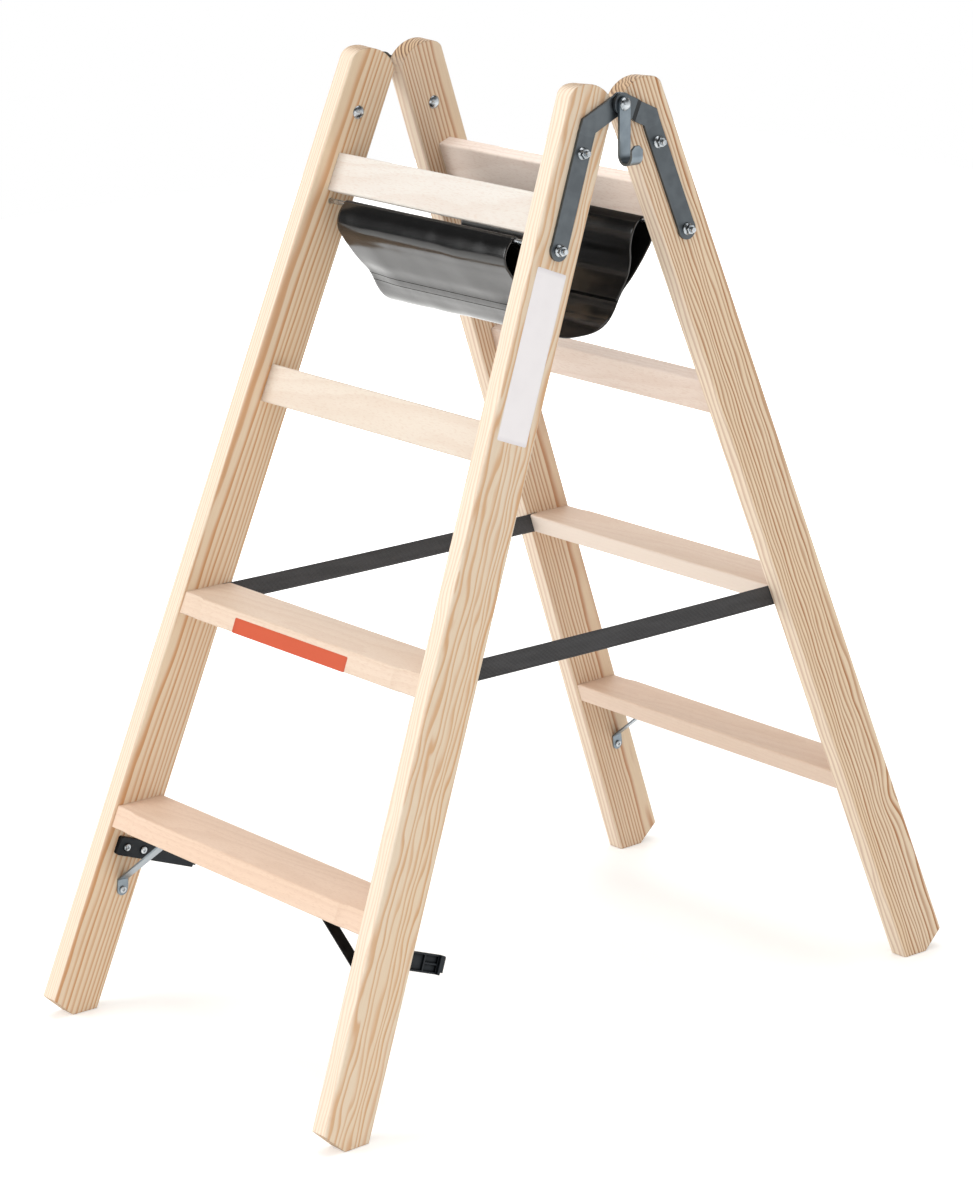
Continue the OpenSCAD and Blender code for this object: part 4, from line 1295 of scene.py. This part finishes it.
@dataclass
class SpreaderStraps:
    """Webbing straps between the third treads, which hold the ladder open.

    The section is a flat strip with round selvedges, carried along Y with a slight sag. It leans with the
    stiles, and its ends are cut along the frames.
    """

    stance: Stance
    width: float = 0.024
    thickness: float = 0.0015
    middle_z: float = 0.481
    sag: float = 0.0012
    turn_y: float = 0.275
    steps: int = 120
    cap_steps: int = 9
    side_steps: int = 14
    finish: Webbing = Webbing()

    def outline(self) -> tuple[np.ndarray, np.ndarray]:
        """Works out the section: the long sides are straight, and each selvedge is a half circle.

        Returns:
            Its points in thickness and width, and how far round each lies, with the first again at the end.
        """
        radius = self.thickness / 2
        flat = self.width / 2 - radius
        turn = np.linspace(0, math.pi, self.cap_steps)
        cap = np.column_stack([radius * np.cos(turn), flat + radius * np.sin(turn)])
        rise = np.linspace(-flat, flat, self.side_steps)[1:-1]
        half = np.vstack([np.column_stack([np.full_like(rise, radius), rise]), cap])
        ring = np.vstack([half, -half])
        return ring, run_along(np.vstack([ring, ring[:1]]))

    def build(self, side: Side, material: bpy.types.Material) -> bpy.types.Object:
        """Args:
            side: Which strap.
            material: The finish.

        Returns:
            The strap.
        """
        node = node_name(side, "spreader_strap")
        low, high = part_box(node)
        end_cut = math.tan(self.stance.half_angle)
        lean = math.atan(math.tan(self.stance.splay) * math.cos(self.stance.half_angle))
        ring, around = self.outline()
        thick, up = ring[None, :, 0], ring[None, :, 1]
        y = np.linspace(low.y, high.y, self.steps)[:, None]
        share = y / high.y
        x = (low.x + high.x) / 2 + side.value * (thick * math.cos(lean) - up * math.sin(lean))
        cut = (up + self.width / 2) * end_cut * share
        z = self.middle_z + up * math.cos(lean) - self.sag * (1 - share**2)
        points = np.stack(np.broadcast_arrays(x, y - cut, z), -1)
        uv = np.stack(np.broadcast_arrays(around[None], y), -1)
        if side is Side.LEFT:
            # The mirrored ring runs the other way round, and its faces have to point outwards too.
            points, uv = points[:, ::-1], uv[:, ::-1]
        piece = grid_piece(node_name(side, "webbing_strap"), points, uv, material, wrap=True)
        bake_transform(piece)
        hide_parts(node)
        return piece

    def build_both(self) -> None:
        """Builds the left and the right strap."""
        material = self.finish.material()
        for side in Side:
            self.build(side, material)


@dataclass
class Stickers:
    """Two plain stickers: a pale one on the right front stile and an orange one on the third front tread."""

    stance: Stance
    thickness: float = 0.00018
    lift: float = 0.00002
    corner_r: float = 0.002
    corner_steps: int = 6
    label_v: Pair = (0.0118, 0.0555)
    label_s: Pair = (0.196, 0.3875)
    label_grid: tuple[int, int] = (10, 40)
    curl_h: float = 0.00035
    curl_range: Pair = (1.75, 2.0)
    strip_x: Pair = (-0.1095, 0.0955)
    strip_s: Pair = (0.6600, 0.6776)
    strip_grid: tuple[int, int] = (40, 6)
    tread_v: float = 0.0681
    pale: Foil = Foil("pale_foil", "f6f2f3", "dfd9dd")
    orange: Foil = Foil("orange_foil", "c25130", "b3482a")

    def spaced(self, count: int, half: float) -> np.ndarray:
        """Spaces points from -half to half, closer together across the corners."""
        inner = half - self.corner_r
        corner = np.linspace(inner, half, self.corner_steps)[1:]
        return np.concatenate([-corner[::-1], np.linspace(-inner, inner, count), corner])

    def patch(self, across: Pair, along: Pair, counts: tuple[int, int]) -> tuple[np.ndarray, np.ndarray]:
        """Works out a rectangle with round corners.

        A grid over the rectangle is left as it is inside. In each corner square it is drawn in towards the
        corner's arc by the ratio of the longer side to the diagonal.

        Args:
            across: Where the rectangle begins and ends across.
            along: Where it begins and ends along.
            counts: Points across and along, without those in the corners.

        Returns:
            The points from the rectangle's middle, and their shares of its half sizes.
        """
        half = np.array([across[1] - across[0], along[1] - along[0]]) / 2
        core = half - self.corner_r
        grid = np.stack(np.meshgrid(*map(self.spaced, counts, half), indexing="ij"), -1)
        over = grid - np.clip(grid, -core, core)
        size = np.linalg.norm(over, axis=-1, keepdims=True)
        longer = np.abs(over).max(-1, keepdims=True)
        drawn = grid - over + over * np.divide(longer, size, out=np.ones_like(size), where=size > TINY)
        return drawn, drawn / half

    def label(self) -> bpy.types.Object:
        """Builds the pale sticker, with one corner that has come up a little.

        Returns:
            The sticker, without thickness.
        """
        flat, share = self.patch(self.label_v, self.label_s, self.label_grid)
        curl = self.curl_h * smooth(share.sum(-1), *self.curl_range)
        deep = sum(self.label_v) / 2 - self.stance.stile_d / 2 + flat[..., 0]
        along = flat[..., 1] - sum(self.label_s) / 2 / math.cos(self.stance.splay)
        places = np.stack([self.stance.stile_t / 2 + self.lift + curl, deep, along], -1)
        points = self.stance.on_stile(End.FRONT, Side.RIGHT, places)
        return grid_piece("pale_sticker", points, share, self.pale.material())

    def strip(self) -> bpy.types.Object:
        """Builds the orange sticker.

        Returns:
            The sticker, without thickness.
        """
        flat, share = self.patch(self.strip_x, self.strip_s, self.strip_grid)
        x = sum(self.strip_x) / 2 + flat[..., 0]
        up = flat[..., 1] - sum(self.strip_s) / 2
        places = np.stack([x, np.full_like(x, self.tread_v + self.lift), up], -1)
        points = self.stance.on_frame(End.FRONT, places)
        return grid_piece("orange_sticker", points, share, self.orange.material())

    def build(self) -> None:
        """Builds both stickers and sets them on the frame that carries them."""
        for piece in (self.label(), self.strip()):
            thicken(piece, self.thickness)
            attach(piece, "front_frame")


@dataclass(frozen=True)
class Lamp:
    """A square soft light, with its side in metres and its power in watts."""

    name: str
    place: Triple
    size: float
    power: float


@dataclass
class Studio:
    """Camera, soft lights, white surroundings and a pale floor."""

    camera_at: Triple = (3.33265, -2.83725, 1.74908)
    azimuth: float = math.radians(49.787)
    elevation: float = math.radians(16.253)
    roll: float = math.radians(-0.316)
    focal_px: float = 3917.85
    sensor: float = 36.0
    clip: Pair = (0.05, 100)
    aim: Triple = (0.0, 0.0, 0.55)
    lights: tuple[Lamp, ...] = (
        Lamp("key", (-1.7, -3.6, 1.9), 2.6, 89.0), Lamp("side", (3.6, -0.2, 2.2), 2.4, 6.0),
        Lamp("top", (0.0, 0.0, 4.2), 3.0, 56.0), Lamp("back", (-3.0, 2.7, 2.1), 2.0, 25.0),
        Lamp("fill", (3.0, -2.9, 1.0), 2.2, 26.0))
    ambient: float = 0.62
    sky_gloss: float = 0.12
    sky_rise: Pair = (0.05, 0.55)
    front_gloss: float = 0.08
    front_turn: Pair = (-0.5, 0.1)
    floor_size: float = 9.0
    floor_points: int = 3
    floor_z: float = -0.0005
    floor_colour: str = "f2f1ee"
    floor_rough: float = 0.9
    floor_specular: float = 0.1
    floor_gloss: float = 0.6
    near_glow: float = 0.28
    glow_reach: Pair = (0.8, 2.2)
    dull_y: Pair = (-1.7, -0.4)

    def camera(self) -> None:
        """Sets the camera where the photograph was taken from, with axes from azimuth, elevation and roll."""
        a, e = self.azimuth, self.elevation
        back = np.array([math.sin(a) * math.cos(e), -math.cos(a) * math.cos(e), math.sin(e)])
        right = np.array([math.cos(a), math.sin(a), 0])
        up = np.cross(back, right)
        c, s = math.cos(self.roll), math.sin(self.roll)
        place = np.eye(4)
        place[:3, :3] = np.array([c * right + s * up, c * up - s * right, back]).T
        place[:3, 3] = self.camera_at
        data = bpy.data.cameras.new("camera")
        data.sensor_width = self.sensor
        data.lens = self.focal_px * self.sensor / max(PHOTO_SIZE)
        data.clip_start, data.clip_end = self.clip
        camera = bpy.data.objects.new("camera", data)
        camera.matrix_world = Matrix(place.tolist())
        bpy.context.scene.collection.objects.link(camera)
        bpy.context.scene.camera = camera

    def lamps(self) -> None:
        """Hangs the soft lights, all turned to the middle of the ladder."""
        for light in self.lights:
            data = bpy.data.lights.new(light.name, "AREA")
            data.shape, data.size, data.energy = "SQUARE", light.size, light.power
            lamp = bpy.data.objects.new(light.name, data)
            lamp.location = light.place
            lamp.rotation_euler = (Vector(self.aim) - Vector(light.place)).to_track_quat("-Z", "Y").to_euler()
            bpy.context.scene.collection.objects.link(lamp)

    @staticmethod
    def seen(tree: Tree) -> Socket:
        """Adds a mask of the rays that see the surroundings: straight, mirrored or through."""
        rays = tree.node("ShaderNodeLightPath").outputs
        mirrored = tree.math("MAXIMUM", rays["Is Glossy Ray"], rays["Is Transmission Ray"])
        return tree.math("MAXIMUM", rays["Is Camera Ray"], mirrored)

    def surroundings(self) -> None:
        """Makes the world: plain ambient light, white where seen, but dull above and in front in mirrors."""
        world = bpy.data.worlds.new("studio")
        bpy.context.scene.world = world
        world.use_nodes = True
        world.node_tree.nodes.clear()
        tree = Tree(world.node_tree)
        rays = tree.node("ShaderNodeLightPath").outputs
        _, depth, height = tree.parts(tree.coordinate("Generated"))
        mirrored = tree.math("MULTIPLY", tree.ease(height, *self.sky_rise, 1.0, self.sky_gloss),
                             tree.ease(depth, *self.front_turn, self.front_gloss, 1.0))
        shown = tree.math("MAXIMUM", mirrored, rays["Is Camera Ray"])
        level = tree.node("ShaderNodeMix", {0: self.seen(tree), 2: self.ambient, 3: shown}, data_type="FLOAT")
        sky = tree.node("ShaderNodeBackground", {"Color": WHITE, "Strength": level.outputs[0]})
        tree.node("ShaderNodeOutputWorld", {"Surface": sky.outputs[0]})

    def floor_finish(self) -> bpy.types.Material:
        """Builds the floor's finish: it keeps the shadow near the ladder and glows to white further out.

        Returns:
            The material.
        """
        material, tree, shader = start_material("pale_floor")
        tree.fill(shader, {"Base Color": linear(self.floor_colour), "Roughness": self.floor_rough,
                           "Specular IOR Level": self.floor_specular})
        place = tree.coordinate("Object")
        rays = tree.node("ShaderNodeLightPath").outputs
        far = tree.ease(tree.measure("LENGTH", place), *self.glow_reach, self.near_glow, 1.0)
        far = tree.math("MAXIMUM", far, tree.math("MULTIPLY", rays["Is Glossy Ray"], self.floor_gloss))
        dull = tree.ease(tree.parts(place)[1], *self.dull_y, self.front_gloss, 1.0)
        shown = tree.math("MAXIMUM", dull, rays["Is Camera Ray"])
        strength = tree.math("MULTIPLY", tree.math("MULTIPLY", far, shown), self.seen(tree))
        glow = tree.node("ShaderNodeEmission", {"Color": WHITE, "Strength": strength})
        both = tree.node("ShaderNodeAddShader", {0: shader.outputs[0], 1: glow.outputs[0]})
        output = next(node for node in material.node_tree.nodes if node.type == "OUTPUT_MATERIAL")
        tree.feed(output.inputs["Surface"], both.outputs[0])
        return material

    def floor(self) -> None:
        """Lays the pale floor, a level grid just under the soles."""
        half = self.floor_size / 2
        side = np.linspace(-half, half, self.floor_points)
        flat = np.stack(np.meshgrid(side, side, indexing="ij"), -1)
        grid = np.concatenate([flat, np.full_like(flat[..., :1], self.floor_z)], -1)
        grid_piece("floor", grid, flat, self.floor_finish())

    def build(self) -> None:
        """Sets up the whole studio."""
        self.camera()
        self.lamps()
        self.surroundings()
        self.floor()
        bpy.context.scene.view_settings.view_transform = "Standard"


def main() -> None:
    """Builds the studio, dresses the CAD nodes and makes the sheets."""
    logging.basicConfig(level=logging.INFO, format="%(name)s: %(message)s")
    stance, patterns = Stance(), Patterns()
    Studio().build()
    frames = WoodenFrames(stance, patterns)
    frames.dress_stiles()
    frames.dress_rungs()
    Ironwork(patterns).dress_all()
    CarryClips().dress_all()
    ToolSling().build()
    SpreaderStraps(stance).build_both()
    Stickers(stance).build()


if __name__ == "__main__":
    main()
